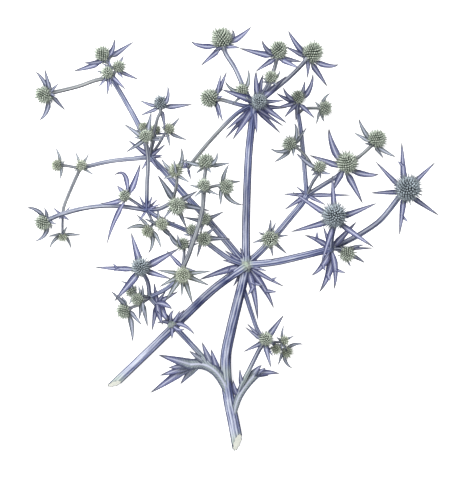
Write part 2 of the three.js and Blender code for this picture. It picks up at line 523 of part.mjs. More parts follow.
// A whorl is a short upright star about a fork, its hub sunk in the stems that meet there.
function whorl({ at, hub, tips }) {
  const middle = place(at);
  const levels = [-hub / 2, -hub / 4, hub / 4].map((level) => {
    return middle.clone().addScaledVector(SKYWARD, level);
  });
  const curve = new THREE.CatmullRomCurve3(levels, false, "centripetal");
  const bracts = ringOfBracts(middle, SKYWARD, tips, hub);
  return starWithExtras(curve, [hub / 8, hub / 4, hub / 4], bracts);
}

// A star and the bracts that would crowd its others: those are blades of their own, rooted in it.
function starWithExtras(curve, radii, bracts) {
  const ring = [];
  const extras = [];
  for (const bract of bracts) {
    const crowded = ring.some(({ angle, spread }) => {
      return Math.abs(turnBetween(angle, bract.angle)) < spread + bract.spread + ELBOW_ROOM;
    });
    (crowded && bracts.length - extras.length > LEAST_SIDES ? extras : ring).push(bract);
  }
  const teeth = bracts.flatMap((bract) => bract.teeth.map((tooth) => toothOn(bract, tooth)));
  return [star(curve, radii, ring), ...extras.map(extraBract), ...teeth];
}

function extraBract({ curve, wide, axis, outward }) {
  const { v0: base, v1: bend, v2: end } = curve;
  const chord = end.clone().sub(base).normalize();
  const up = axis
    .clone()
    .multiplyScalar(chord.dot(outward))
    .addScaledVector(outward, -chord.dot(axis))
    .normalize();
  const [root, lowered] = [base, bend].map((point) => {
    return point.clone().addScaledVector(up, -0.8 * BRACT_THICKNESS);
  });
  return blade(new THREE.QuadraticBezierCurve3(root, lowered, end), up, wide, 2, 0.5);
}

function turnBetween(from, to) {
  return Math.atan2(Math.sin(to - from), Math.cos(to - from));
}

// ---- Bracts ----

// The bracts of a ring, in order round its axis. Those given no rise take one that keeps them
// square to the axis, or, where it lies level, one that gives the ring's bracts a like length.
function ringOfBracts(base, axis, tips, hub, head) {
  const start = crossing(axis);
  const across = axis.clone().cross(start);
  const angleOf = (vector) => Math.atan2(vector.dot(across), vector.dot(start));
  const plain = tips.map((tip) => (Array.isArray(tip) ? { to: tip } : tip));
  const flatRun = ({ to }) => place([to[0], to[1], base.z]).distanceTo(base);
  const reach = Math.max(hub * LEAST_REACH, ...plain.map(flatRun));
  const bracts = plain.map((tip, i) => {
    const end = tipPlace(tip, i, base, axis, reach);
    return { ...tip, end, teeth: tip.teeth ?? [], angle: angleOf(end.clone().sub(base)) };
  });
  fillGaps(bracts, base, start, across, reach);
  for (const bract of bracts) shapeBract(bract, base, axis, hub, head);
  return bracts;
}

function tipPlace({ to }, i, base, axis, reach) {
  const end = place([to[0], to[1], base.z]);
  const flat = end.clone().sub(base);
  const run = flat.length();
  const square = RING_LIFT * run - flat.dot(axis) / Math.max(axis.z, 0.01);
  const squareRise = THREE.MathUtils.clamp(square, -STEEPEST_FALL * run, STEEPEST_RISE * run);
  const freeRise = (i % 2 ? -SPLAY : SPLAY) * Math.sqrt(Math.max(0, reach ** 2 - run ** 2));
  const facing = THREE.MathUtils.smoothstep(axis.z, ON_EDGE, FACING_UP);
  end.z = base.z + (to[2] ?? THREE.MathUtils.lerp(freeRise, squareRise, facing));
  end.z = Math.max(end.z, TABLE_REACH);
  return end;
}

// Adds bracts in wide gaps that face the table, where they don't show from above.
function fillGaps(bracts, base, start, across, reach) {
  const outAt = (angle) =>
    start.clone().multiplyScalar(Math.cos(angle)).addScaledVector(across, Math.sin(angle));
  while (bracts.length < MOST_BRACTS) {
    bracts.sort((a, b) => a.angle - b.angle);
    const gaps = bracts.map(({ angle }, i) => {
      const next = bracts[i + 1]?.angle ?? bracts[0].angle + 2 * Math.PI;
      return { wide: next - angle, middle: (angle + next) / 2 };
    });
    if (!gaps.length) gaps.push({ wide: 2 * Math.PI, middle: 0 });
    const gap = gaps
      .filter(({ wide, middle }) => bracts.length < LEAST_BRACTS
        || (wide > WIDEST_GAP && outAt(middle).z < 0))
      .sort((a, b) => b.wide - a.wide)[0];
    if (!gap) return;
    const end = base.clone().addScaledVector(outAt(gap.middle), FILLER_REACH * reach);
    end.z = Math.max(end.z, TABLE_REACH);
    bracts.push({ end, teeth: [], angle: turnBetween(0, gap.middle) });
  }
  bracts.sort((a, b) => a.angle - b.angle);
}

// Gives a bract its curve, which leaves the ring square to the axis and is bent out as far as it
// takes to clear the head, and its width and its up side.
function shapeBract(bract, base, axis, hub, head) {
  const outward = bract.end.clone().sub(base);
  const lean = Math.max(0, outward.dot(axis) / outward.length());
  outward.addScaledVector(axis, -outward.dot(axis)).setLength(hub);
  const { via } = bract;
  const bend = via
    ? place([via[0], via[1], Math.max(base.z + via[2], TABLE_REACH)])
    : base.clone().addScaledVector(outward, 1 + lean).lerp(bract.end, RING_LIFT);
  bract.curve = new THREE.QuadraticBezierCurve3(base, bend, bract.end);
  for (let tries = 0; head && tries < MOST_TRIES && touches(bract.curve, head); tries++) {
    bend.addScaledVector(outward, BEND_STEP);
  }
  const length = bract.curve.getLength();
  bract.wide ??= Math.max(BRACT_LEAST_WIDTH, length * BRACT_WIDTH_SHARE);
  bract.rings = length > LONG_BRACT || via ? LONG_BENDS : SHORT_BENDS;
  bract.spread = Math.atan(bract.wide / 2 / (bract.rings[0] * length));
  bract.axis = axis;
  bract.outward = outward.normalize();
}

// Whether a bract's curve passes through the room that its own head needs.
function touches(curve, head) {
  const axis = pointing(head);
  const centre = place(head.at);
  const room = 0.5 * CORE_SHARE * (1 + SPINE_LENGTH_SHARE);
  const floor = -0.5 * CORE_SHARE * HEAD_BASE_SHARE * head.long;
  return curve.getPoints(16).some((point) => {
    const offset = point.clone().sub(centre);
    const along = offset.dot(axis);
    const across = offset.addScaledVector(axis, -along).length() - BRACT_CLEARANCE;
    return along > floor && Math.hypot(along / head.long, across / head.wide) < room;
  });
}

// Any direction square to an axis.
function crossing(axis) {
  const side = SKYWARD.clone().cross(axis);
  if (side.length() < 0.1) side.set(1, 0, 0);
  return side.addScaledVector(axis, -side.dot(axis)).normalize();
}

// A tube along a curve, one ring of corners for each radius, with a side for each bract. The
// last band's sides are drawn out into the bracts.
function star(curve, radii, bracts) {
  const spans = radii.length - 1;
  const count = bracts.length;
  const frames = turningFrames(curve, spans);
  const { side, out } = frames[spans];
  const forward = curve.getTangent(1);
  const around = forward.clone().cross(side);
  const turn = (vector) => Math.atan2(vector.dot(around), vector.dot(side));
  const angles = bracts.map(({ end }) => turn(end.clone().sub(curve.getPoint(1))));
  const corners = cornersBetween(angles);
  const sense = out.dot(around);
  const rings = radii.map((radius, k) => {
    const middle = curve.getPoint(k / spans);
    return corners.map((angle) =>
      middle
        .clone()
        .addScaledVector(frames[k].side, radius * Math.cos(angle))
        .addScaledVector(frames[k].out, sense * radius * Math.sin(angle)));
  });
  const faces = [];
  for (let k = 0; k < spans - 1; k++) faces.push(...band(rings[k], rings[k + 1]));
  faces.push(...fan(rings[0].toReversed()), ...fan(rings[spans]));
  bracts.forEach((bract, i) => {
    const next = (i + 1) % count;
    const [low, high] = [rings[spans - 1], rings[spans]];
    bract.across = high[next].clone().sub(high[i]);
    faces.push(...drawnOut(bract, high[i], high[next], low[i], low[next]));
  });
  return solid(new THREE.BufferGeometry().setFromPoints(faces));
}

// The corners of a ring whose sides face the given angles, as far as an even spacing lets them.
function cornersBetween(angles) {
  const turn = 2 * Math.PI;
  const even = angles.map((angle, i) => (turn * i) / angles.length);
  const sum = (f) => angles.reduce((total, angle, i) => total + f(angle - even[i]), 0);
  const phase = Math.atan2(sum(Math.sin), sum(Math.cos));
  const sides = angles.map((angle, i) => {
    return even[i] + phase + EVENING * turnBetween(even[i] + phase, angle);
  });
  return sides.map((side, i) => (side + (sides[i - 1] ?? sides.at(-1) - turn)) / 2);
}

// The faces between two rings of corners.
function band(low, high) {
  return low.flatMap((corner, i) => {
    const next = (i + 1) % low.length;
    return [corner, low[next], high[next], corner, high[next], high[i]];
  });
}

// The faces of a flat ring, from its first corner.
function fan(ring) {
  return ring.slice(2).flatMap((corner, i) => [ring[0], ring[i + 1], corner]);
}

// A bract drawn out from a side of four corners: a three-edged blade with its keel below.
function drawnOut(bract, highLeft, highRight, lowLeft, lowRight) {
  const sections = bract.rings.map((along) => section(bract, along));
  const [left, right, keel] = sections[0];
  const faces = [
    highLeft, left, right, highLeft, right, highRight,
    highRight, right, keel, highRight, keel, lowRight,
    highLeft, keel, left, highLeft, lowLeft, keel,
    lowLeft, lowRight, keel,
  ];
  const [a, b, c] = sections.at(-1);
  if (sections.length > 1) faces.push(...band([keel, right, left], [c, b, a]));
  faces.push(a, bract.end, b, b, bract.end, c, c, bract.end, a);
  return faces;
}

// A bract's left edge, right edge and keel, some way along it.
function section({ curve, across, wide }, along) {
  const forward = curve.getTangent(along);
  const side = across.clone().addScaledVector(forward, -across.dot(forward)).normalize();
  const out = forward.clone().cross(side);
  const fullness = along < 0.5 ? 1 : (2 - 2 * along) ** BRACT_TAPER;
  const middle = curve.getPoint(along);
  return [
    middle.clone().addScaledVector(side, -(wide / 2) * fullness),
    middle.clone().addScaledVector(side, (wide / 2) * fullness),
    middle.clone().addScaledVector(out, -BRACT_THICKNESS * fullness),
  ];
}

// A spine on the edge of a bract, sprung from the nearest place on the bract's curve.
function toothOn({ curve, wide }, tooth) {
  const flat = place([tooth[0], tooth[1], 0]);
  const nearest = curve
    .getPoints(20)
    .map((point, i) => ({ along: i / 20, gap: Math.hypot(point.x - flat.x, point.y - flat.y) }))
    .sort((a, b) => a.gap - b.gap)[0];
  const root = curve.getPoint(Math.max(0.15, nearest.along - 0.12));
  root.z -= BRACT_THICKNESS / 3;
  flat.z = Math.max(root.z + TOOTH_RISE, TABLE_REACH);
  return blade(new THREE.LineCurve3(root, flat), SKYWARD, wide * TOOTH_WIDTH_SHARE, 1, 1);
}

// ---- Leaves ----

function leaf({ sheath, wide, lobes }) {
  const curve = new THREE.CatmullRomCurve3(sheath.map(place), false, "centripetal");
  const half = (along) => THREE.MathUtils.lerp(wide[0], wide[1], along) / 2;
  const deep = (along) => half(along) * SHEATH_FLATNESS;
  const made = [bent(new THREE.CylinderGeometry(1, 1, 1, 6, 4), curve, SKYWARD, half, deep)];
  for (const { root, via, to, wide: lobeWide } of lobes) {
    const points = [root ?? sheath.at(-1), via, to].map(place);
    made.push(blade(new THREE.QuadraticBezierCurve3(...points), SKYWARD, lobeWide, 3, LOBE_ROOT_SHARE));
  }
  return made;
}

// ---- Heads ----

function floretGrid({ wide }) {
  if (wide > LARGE_HEAD) return { rows: 6, sides: 8 };
  if (wide > SMALL_HEAD) return { rows: 5, sides: 6 };
  return { rows: 4, sides: 5 };
}

// A dome of florets: a ball with twisted rows of faces, each face raised to a point.
function floretHead(head) {
  const { rows, sides } = floretGrid(head);
  const ball = new THREE.SphereGeometry(1, sides, rows);
  const position = ball.attributes.position;
  const corner = new THREE.Vector3();
  for (let i = 0; i < position.count; i++) {
    corner.fromBufferAttribute(position, i);
    const fromTop = Math.acos(THREE.MathUtils.clamp(corner.y, -1, 1));
    corner.applyAxisAngle(UPRIGHT, (fromTop * rows) / sides);
    corner.y = Math.max(corner.y, -HEAD_BASE_SHARE);
    position.setXYZ(i, corner.x, corner.y, corner.z);
  }
  const dome = raiseFaces(ball);
  const core = CORE_SHARE / 2;
  dome.scale(head.wide * core, head.long * core, head.wide * core);
  return solid(seated(dome, head));
}

// The room that a head needs: a plain ball a little larger than the head, flat below.
function headRoom(head) {
  const ball = new THREE.SphereGeometry(1, 8, 6);
  const reach = (CORE_SHARE / 2) * (1 + SPINE_LENGTH_SHARE) * ROOM_GROWTH;
  const [across, along] = [head.wide, head.long].map((size) => size * reach + SEAT_GAP);
  ball.scale(across, along, across);
  const position = ball.attributes.position;
  const flat = -(HEAD_BASE_SHARE * CORE_SHARE * head.long) / 2 - 0.9 * SEAT_GAP;
  for (let i = 0; i < position.count; i++) position.setY(i, Math.max(position.getY(i), flat));
  return seated(ball, head);
}

// Turns a shape that was made upright about the origin to where a head points, and puts it there.
function seated(geometry, head) {
  geometry.applyQuaternion(new THREE.Quaternion().setFromUnitVectors(UPRIGHT, pointing(head)));
  const centre = place(head.at);
  return geometry.translate(centre.x, centre.y, centre.z);
}

// Splits each face above the base into three that meet at a point standing out from it.
function raiseFaces(geometry) {
  const faces = geometry.toNonIndexed().attributes.position;
  const raised = [];
  for (let i = 0; i < faces.count; i += 3) {
    const [a, b, c] = [0, 1, 2].map((k) => new THREE.Vector3().fromBufferAttribute(faces, i + k));
    const middle = a.clone().add(b).add(c).divideScalar(3);
    if (middle.y < LOWEST_FLORET) {
      raised.push(a, b, c);
    } else {
      const point = middle.clone().setLength(1 + SPINE_LENGTH_SHARE);
      point.y = Math.max(point.y, middle.y);
      raised.push(a, b, point, b, c, point, c, a, point);
    }
  }
  return new THREE.BufferGeometry().setFromPoints(raised);
}

// ---- The object ----

const TABLE_SIDE = 2 * SPRAY_LENGTH;

// The whole green body: branches, stalks, bracts and leaves in one, level where it meets the table.
function plantBody() {
  const pieces = [
    ...BRANCHES.map(branch),
    ...HEADS.flatMap(stalk),
    ...WHORLS.flatMap(whorl),
    ...LEAVES.flatMap(leaf),
  ];
  const table = new THREE.BoxGeometry(TABLE_SIDE, TABLE_SIDE, TABLE_SIDE);
  table.translate(0, 0, -TABLE_SIDE / 2);
  let whole = wasm.Manifold.union(pieces).subtract(solid(table));
  for (const cut of CUTS) whole = whole.subtract(solid(cutBlock(cut)));
  for (const head of HEADS) {
    const clash = whole.intersect(floretHead(head)).volume();
    if (clash > LEAST_CLASH) whole = whole.subtract(solid(headRoom(head)));
  }
  return whole.decompose().sort((a, b) => b.volume() - a.volume())[0];
}

function cutBlock({ at, turn }) {
  const block = new THREE.BoxGeometry(CUT_BLOCK, CUT_BLOCK, CUT_BLOCK);
  block.translate(CUT_BLOCK / 2, 0, 0);
  block.rotateZ(THREE.MathUtils.degToRad(turn));
  const middle = place(at);
  return block.translate(middle.x, middle.y, middle.z);
}

function meshOf(body, name, colour) {
  const material = new THREE.MeshStandardMaterial({ color: colour, roughness: 0.6, metalness: 0 });
  const mesh = new THREE.Mesh(geometryOf(body), material);
  mesh.name = name;
  return mesh;
}

const group = new THREE.Group();
group.add(meshOf(plantBody(), "stem", STEM_COLOUR));
for (const head of HEADS) {
  group.add(meshOf(floretHead(head), `head_${head.name}`, HEAD_COLOURS[head.tone]));
}

export default group;
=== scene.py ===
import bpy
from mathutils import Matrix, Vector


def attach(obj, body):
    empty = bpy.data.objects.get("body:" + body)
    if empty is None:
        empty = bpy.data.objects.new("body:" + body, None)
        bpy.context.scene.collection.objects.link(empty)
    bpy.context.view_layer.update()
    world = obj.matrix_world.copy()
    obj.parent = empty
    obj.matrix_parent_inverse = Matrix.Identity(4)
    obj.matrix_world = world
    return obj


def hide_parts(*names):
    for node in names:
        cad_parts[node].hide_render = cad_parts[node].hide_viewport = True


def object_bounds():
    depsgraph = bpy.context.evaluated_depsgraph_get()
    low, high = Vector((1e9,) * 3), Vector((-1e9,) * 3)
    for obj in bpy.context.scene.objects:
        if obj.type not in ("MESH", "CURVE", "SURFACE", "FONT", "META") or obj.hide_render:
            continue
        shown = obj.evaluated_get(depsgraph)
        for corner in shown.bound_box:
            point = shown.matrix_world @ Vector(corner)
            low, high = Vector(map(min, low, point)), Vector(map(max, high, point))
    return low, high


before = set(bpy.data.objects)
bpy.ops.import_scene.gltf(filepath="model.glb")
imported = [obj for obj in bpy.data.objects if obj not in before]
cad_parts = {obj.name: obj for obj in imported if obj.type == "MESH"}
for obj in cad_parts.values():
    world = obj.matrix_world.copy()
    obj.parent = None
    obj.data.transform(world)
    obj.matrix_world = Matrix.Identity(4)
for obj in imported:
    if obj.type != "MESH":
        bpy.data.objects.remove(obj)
PLAIN_BOX = [list(corner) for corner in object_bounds()]  # the room of the plain solids, in metres

import math
import random
from collections.abc import Sequence
from types import SimpleNamespace
from typing import NamedTuple

import bmesh
import bpy
from bpy.props import FloatProperty, FloatVectorProperty, IntProperty, PointerProperty
from mathutils import Matrix, Vector, geometry, noise

bl_info = {
    "name": "Sea holly stem",
    "version": (1, 0, 0),
    "blender": (4, 5, 0),
    "location": "3D View > Sidebar > Sea holly",
    "description": "Grows a cut stem of sea holly over its plain solids",
    "category": "Add Mesh",
}

# ---- Sizes: millimetres, or shares where a comment says over what ----

STEP = 278 / 427.5  # one step of the plan, in millimetres
PLAN_MIDDLE = (233, 239.45)  # the middle of the plan, in steps right and down
METRES = 0.001  # for each millimetre
SKYWARD = Vector((0, 0, 1))
TABLE_FILM = 0.02  # nothing lies lower above the table than this
SEED = 7  # of the first head's random draws, and one more for each head after it

# Bracts, as the plain solids have them
BRACT_WIDTH_SHARE = 0.18  # a bract's width over its length
BRACT_LEAST_WIDTH = 1.9
BRACT_FULLEST = 0.34  # how far along a blade it is widest
BRACT_TAPER = 0.72  # power that a bract narrows to its tip by
HUB_SHARE = 0.45  # how far out bracts run before they bend, over the head's width
BRACT_CLEARANCE = 0.9  # from a bract's middle line to the head that it passes
BEND_STEP = 0.25  # how far a bend moves at each try to clear the head
MOST_TRIES = 16
TRIED_STEPS = 16  # along a bract's curve, where it is tried against the head
TOOTH_WIDTH_SHARE = 0.5  # a tooth's width over its bract's
TOOTH_RISE = 0.8

# Rings of bracts
LEAST_BRACTS = 4
MOST_BRACTS = 11
WIDEST_GAP = math.radians(125)  # between the bracts that face the table
RING_LIFT = 0.12  # how far a ring's bracts rise above square, over their run
STEEPEST_FALL = 0.5  # over the run
STEEPEST_RISE = 0.6
SPLAY = 0.7  # how far the bracts of a ring on edge splay up and down, over the most they can
ON_EDGE = 0.3  # upward part of the axis of a ring that stands on edge
FACING_UP = 0.8  # and of a ring that lies open to the sky
LEAST_REACH = 3  # length of a ring's longest bract, over its hub
FILLER_REACH = 0.75  # length of the bracts that fill gaps, over that of the longest
TABLE_REACH = -0.25  # bracts that would fall below the table are bent to end at this height
WHORL_GREEN = 0.1

# Bracts, as they look
BRACT_THICK = 0.6
BRACT_ROOT_SHARE = 0.45  # a bract's width where it leaves its disc, over its widest
MOST_SKYWARD = 0.88  # how far a blade turns to face the sky
SKYWARD_BY = 0.4  # how far along it has turned so
TABLEWARD = -0.7  # a blade whose face points further down than this stays turned down
STRAIGHTNESS = 0.68  # how far a bract's bend is taken out
BLADE_SIDES = 12
BLADE_FOLD = 0.16  # how far a blade's edges turn up, over its width
BLADE_PALENESS = 0.8  # over that of the stem it springs from
MIDDLE_WIDTH = 0.28  # of the groove above and the keel below, over half a blade's width
GROOVE_DEPTH = 0.42  # over the blade's thickness
KEEL_DEPTH = 0.9
BROAD_BRACT = 2.5  # a bract wider than this has more steps
BROAD_STEPS = 12
NARROW_STEPS = 9
CURVE_STEPS = 20  # along a bract's curve, to measure it and to find a tooth's root
TOOTH_BACK = 2.4  # how many of them a tooth springs from behind its own tip
FIRST_TOOTH = 3  # the nearest that a tooth is to its bract's root
TOOTH_STEPS = 6

# Stems and stalks
LIT_SIDE = Vector((-0.5, 0.35, 0.8))  # the side that takes a painted highlight, towards the key light
LIT_FROM = 0.35  # how far a rib has to face that side to take painted highlight and not painted shade
LIT_RADIUS = 2.2  # the painted light grows with a stem's radius over this
MOST_LIT = 1.6  # and no further than so many times
FEWEST_RIBS = 5
RIBS_BY_THICKNESS = 0.6
RIND = 0.45  # thickness of the ring round a cut end
PITH_DEPTH = 0.25  # how far the middle of a cut end lies in
STALK_STEPS = 7  # from one place to the next
LONG_STALK_STEPS = 5  # the same on a stalk through more than four places
LONG_STALK_PLACES = 4
STALK_OVERRUN = 1.5  # how far a stalk runs on past its disc into the head, over the clearance
OVERRUN_WIDTH = 0.8  # and how wide it is there, over the disc

# Forks
BUMP_HEIGHT = 0.2  # over a fork's radius
BUMP_SCALE = 2.3
KNOB_SHAPE = Vector((1, 1, 1.12))
SWOLLEN_REACH = (0.2, 1.2)  # how far stems are swollen in full, and at all, over its thickness
PALE_REACH = (0.25, 0.6)  # and how far they are pale
FRESH_REACH = (0.3, 1.0)  # the same for a patch of pale skin, over its reach
SHADE_REACH = (0.2, 1.0)  # and for a dark one

# Leaves
SHEATH_FLATNESS = 0.5  # a leaf sheath's depth over its width
SHEATH_STEPS = 6  # from one place to the next
SHEATH_SIDES = 36
SHEATH_RIBS = 9
SHEATH_RIB_DEPTH = 0.12  # over half its width
SHEATH_ROOT_SHARE = 0.3  # its width where it clasps the stem, over that where it has opened
SHEATH_OPENING = 8  # how many steps it takes to open
SHEATH_GREEN = 0.25
SHEATH_PALENESS = 0.55
SHEATH_END_PALENESS = 0.8
LOBE_THICK = 1.3  # over a bract's thickness
LOBE_STEPS = 12
LOBE_ROOT_SHARE = 1.25  # width of the lobes at a sheath's end where they start, over their widest
LOBE_GREEN = 0.1
LEAF_CONTRAST = 0.85  # of a leaf's dark marks, over a bract's

# Heads, as the plain solids have them
NECK_SHARE = 0.3  # length of the neck that widens under a head, over the head's length
RECEPTACLE_SHARE = 0.26  # radius of the disc under a head, over the head's width
SEAT_GAP = 0.35  # clearance between a head and the disc it sits on
CORE_SHARE = 0.88  # the florets' core over the head's width
SPINE_REACH = 1.34  # how far a floret's point stands out, over the core's radius
LOWEST_FLORET = -0.9  # florets stand above this height of a core of radius 1
HEAD_BASE_SHARE = 0.74  # where a head is flat below, over half its core's length

# Heads, as they look
FLORET_ROOT = 0.7  # size of the core that florets stand on, dark with the gaps' painted shade, over the head's
LEAST_SPACING = 0.8  # the distance between florets, over their setting, is more than this
SPACING_BY_WIDTH = 0.058  # by so much for each millimetre of a head's width
FLORET_LEVEL = 0.95  # middle size of the surface that florets are counted on, over the core's
FLORET_ROOM = 0.82  # the room that a floret takes, over the square of their distance
BUD_REACH = 1.08  # how far out the buds of a wide head reach, over its core
BUD_OVER_CORE = 0.6  # and how much further on every head
BUD_WIDTH = 0.88  # over the distance between florets
BUD_TAPER = 0.3  # how much narrower a bud is at its top
POINT_REACH = 1.17  # how far out the spines of a wide head reach, over its core
SPINE_OVER_CORE = 1.9  # and how much further on every head
SPINE_FOOT = 0.25  # a spine's radius where it starts, over the distance between florets
SPINE_END = 0.08  # and where it ends
SPINE_ASIDE = 0.4  # how far it stands beside its bud
SPINE_LEAN = 0.2  # and how much further at its end
LOWER_SPLAY = 0.45  # how far the lowest florets still point down, over the core's slope
FLORET_LIFT = 0.3  # how far the florets on the sides lean up to the head's top
FLORET_SIZES = (0.84, 1.1)  # the smallest and the largest, over the middle one
FLORET_TWIST = 0.5  # the most that one is turned either way, in radians

# The stage, in metres where a comment names nothing else
PICTURE_MIDDLE = (233, 240)  # where the camera looks, in steps of the plan
CAMERA_REACH = 100
KEY_PLACE = (-0.85, 0.7, 1.25)
KEY_SIZE = 1.5
FILL_PLACE = (0.9, -0.7, 1.2)
FILL_SIZE = 1.2
FILL_SHARE = 0.12  # the second light's power, over the first one's
FLOOR_REACH = 6
FLOOR_GLOW = 0.7  # strength of the light that the floor gives


# ---- The plan ----
#
# Places are [right, down, height]: steps of the plan, and millimetres above the table.
# A turn is where a head or a cut end points on the plan, in degrees from right, and its lift how
# far it points up from the table. A tip of a bract is [right, down], or has a third number, how
# far it stands above the middle of its ring, as the place that a bract bends towards also has.
# green is how far a stem or a ring of bracts is grey-green instead of violet.


class Cut(NamedTuple):
    """Where a stem is cut across, and which way its end faces."""

    at: list
    turn: float
    lift: float


class Branch(NamedTuple):
    """A stem through places of the plan, as thick as given at its start and at its end."""

    path: list
    thick: tuple
    green: float = 0.0
    cut: Cut = None


class Tip(NamedTuple):
    """A bract's tip, a place that it bends towards, its width and the tips of its teeth."""

    to: list
    via: list = None
    wide: float = None
    teeth: Sequence = ()


class Head(NamedTuple):
    """A flower head, the places that its stalk comes by, and the tips of its bracts."""

    name: str
    tone: str  # blue, green or young
    at: list
    wide: float
    long: float
    turn: float
    lift: float
    thick: float  # of its stalk
    stalk: list
    tips: Sequence = ()
    green: tuple = (0.12, 0.3)  # of its bracts and of its stalk
    crest: float = 1.0  # how much taller than round its upper half is
    shade: str = None  # the look of its florets, where that isn't its tone's


class Whorl(NamedTuple):
    """A ring of bracts at a fork, where no head sits, and how far out they run straight."""

    at: list
    hub: float
    tips: list


class Lobe(NamedTuple):
    """A lobe that springs from the end of a leaf's sheath, or from a root along it."""

    via: list
    to: list
    wide: float
    root: list = None


class Leaf(NamedTuple):
    """A stem leaf: a sheath that clasps the stem, and lobes that end in spines."""

    sheath: list
    wide: tuple
    lobes: list


class Fork(NamedTuple):
    """A swollen fork, and how far it is pale green."""

    at: list
    thick: float
    pale: float


class Patch(NamedTuple):
    """Where stems have another colour, how far from there that reaches, and how strong it is."""

    at: list
    reach: float
    strength: float


MAIN_FORK = [246, 265, 22]
CROWN_FORK = [254, 107, 38]
RIGHT_FORK = [331, 249, 25]
FAR_FORK = [307, 195, 11]
LEFT_FORK = [150, 157, 25]
UPPER_LEFT_FORK = [113, 80, 21]
OUTER_LEFT_NODE = [80, 168, 12]
MIDDLE_LEFT_FORK = [147, 210, 36]
LOWER_LEFT_FORK = [172, 324, 20]
CLUSTER_NODE = [150, 297, 27]
TALL_STALK_FOOT = [183, 268, 40]
TALL_STALK_NODE = [204, 193, 52]

BRANCHES = [
    Branch([[239.6, 455, 3.8], [234, 425, 4.2], [229, 400, 4.6], [226, 376, 5.5], [226, 355, 7.5],
           [231, 330, 10.5], [237, 305, 14.5], [243, 281, 19], MAIN_FORK], (8.1, 6.2),
           cut=Cut([237.6, 443.9, 3.2], turn=-35, lift=36)),
    Branch([MAIN_FORK, [246, 230, 26], [247, 190, 31], [249, 150, 35], CROWN_FORK], (5.6, 4.9)),
    Branch([MAIN_FORK, [275, 262, 24], [300, 256.5, 25], RIGHT_FORK], (4.9, 4.7)),
    Branch([MAIN_FORK, [262, 250, 19], [275, 236, 15.5], [290, 218, 12.5], [303, 202, 11], FAR_FORK],
           (4.4, 3.7)),
    Branch([FAR_FORK, [304, 160, 13], [301, 130, 15], [298, 111, 16]], (3.2, 2.9)),
    Branch([MAIN_FORK, [226, 241, 22], [215, 228, 22], [200, 211, 22], [182, 192, 23], [165, 172, 24],
           LEFT_FORK], (4.6, 3.7)),
    Branch([LEFT_FORK, [139, 126, 24], [126, 102, 22.5], UPPER_LEFT_FORK], (3.8, 3.1)),
    Branch([LEFT_FORK, [140, 158, 23], [110, 161, 16], OUTER_LEFT_NODE], (3.3, 2.9), green=0.4),
    Branch([OUTER_LEFT_NODE, [70, 190, 8], [63, 208, 6.5], [62, 217, 6]], (2.3, 2.1), green=0.85),
    Branch([MAIN_FORK, [230, 259, 25.5], [210, 245, 29], [192, 233, 32], [165, 221, 35],
           MIDDLE_LEFT_FORK], (3.6, 3)),
    Branch([[246, 266, 24.5], [215, 288, 18], [183, 318, 11.5], [150, 350, 6.5], [106, 392, 2.6]],
           (5.4, 5.8), cut=Cut([115, 385.3, 2.4], turn=-90, lift=36)),
    Branch([[223, 380, 6], [207, 362, 9], [190, 343, 14], LOWER_LEFT_FORK], (3.9, 3.5)),
    Branch([LOWER_LEFT_FORK, [160, 309, 24], CLUSTER_NODE], (3.6, 3.3)),
    Branch([CLUSTER_NODE, [166, 289, 32], [177, 279, 37], TALL_STALK_FOOT], (3.1, 2.7)),
    Branch([TALL_STALK_FOOT, [188, 257, 43], [194, 240, 47], [199, 225, 49], [203, 207, 51],
           TALL_STALK_NODE], (3.3, 2.9), green=0.8),
    Branch([[253, 105, 37], [238, 113, 38], [212, 139, 41], [188, 168, 42]], (3.1, 2.7), green=0.9),
    Branch([[244, 290, 17], [252, 315, 11], [259, 333, 7], [268, 342, 6]], (3.1, 2.7)),
]

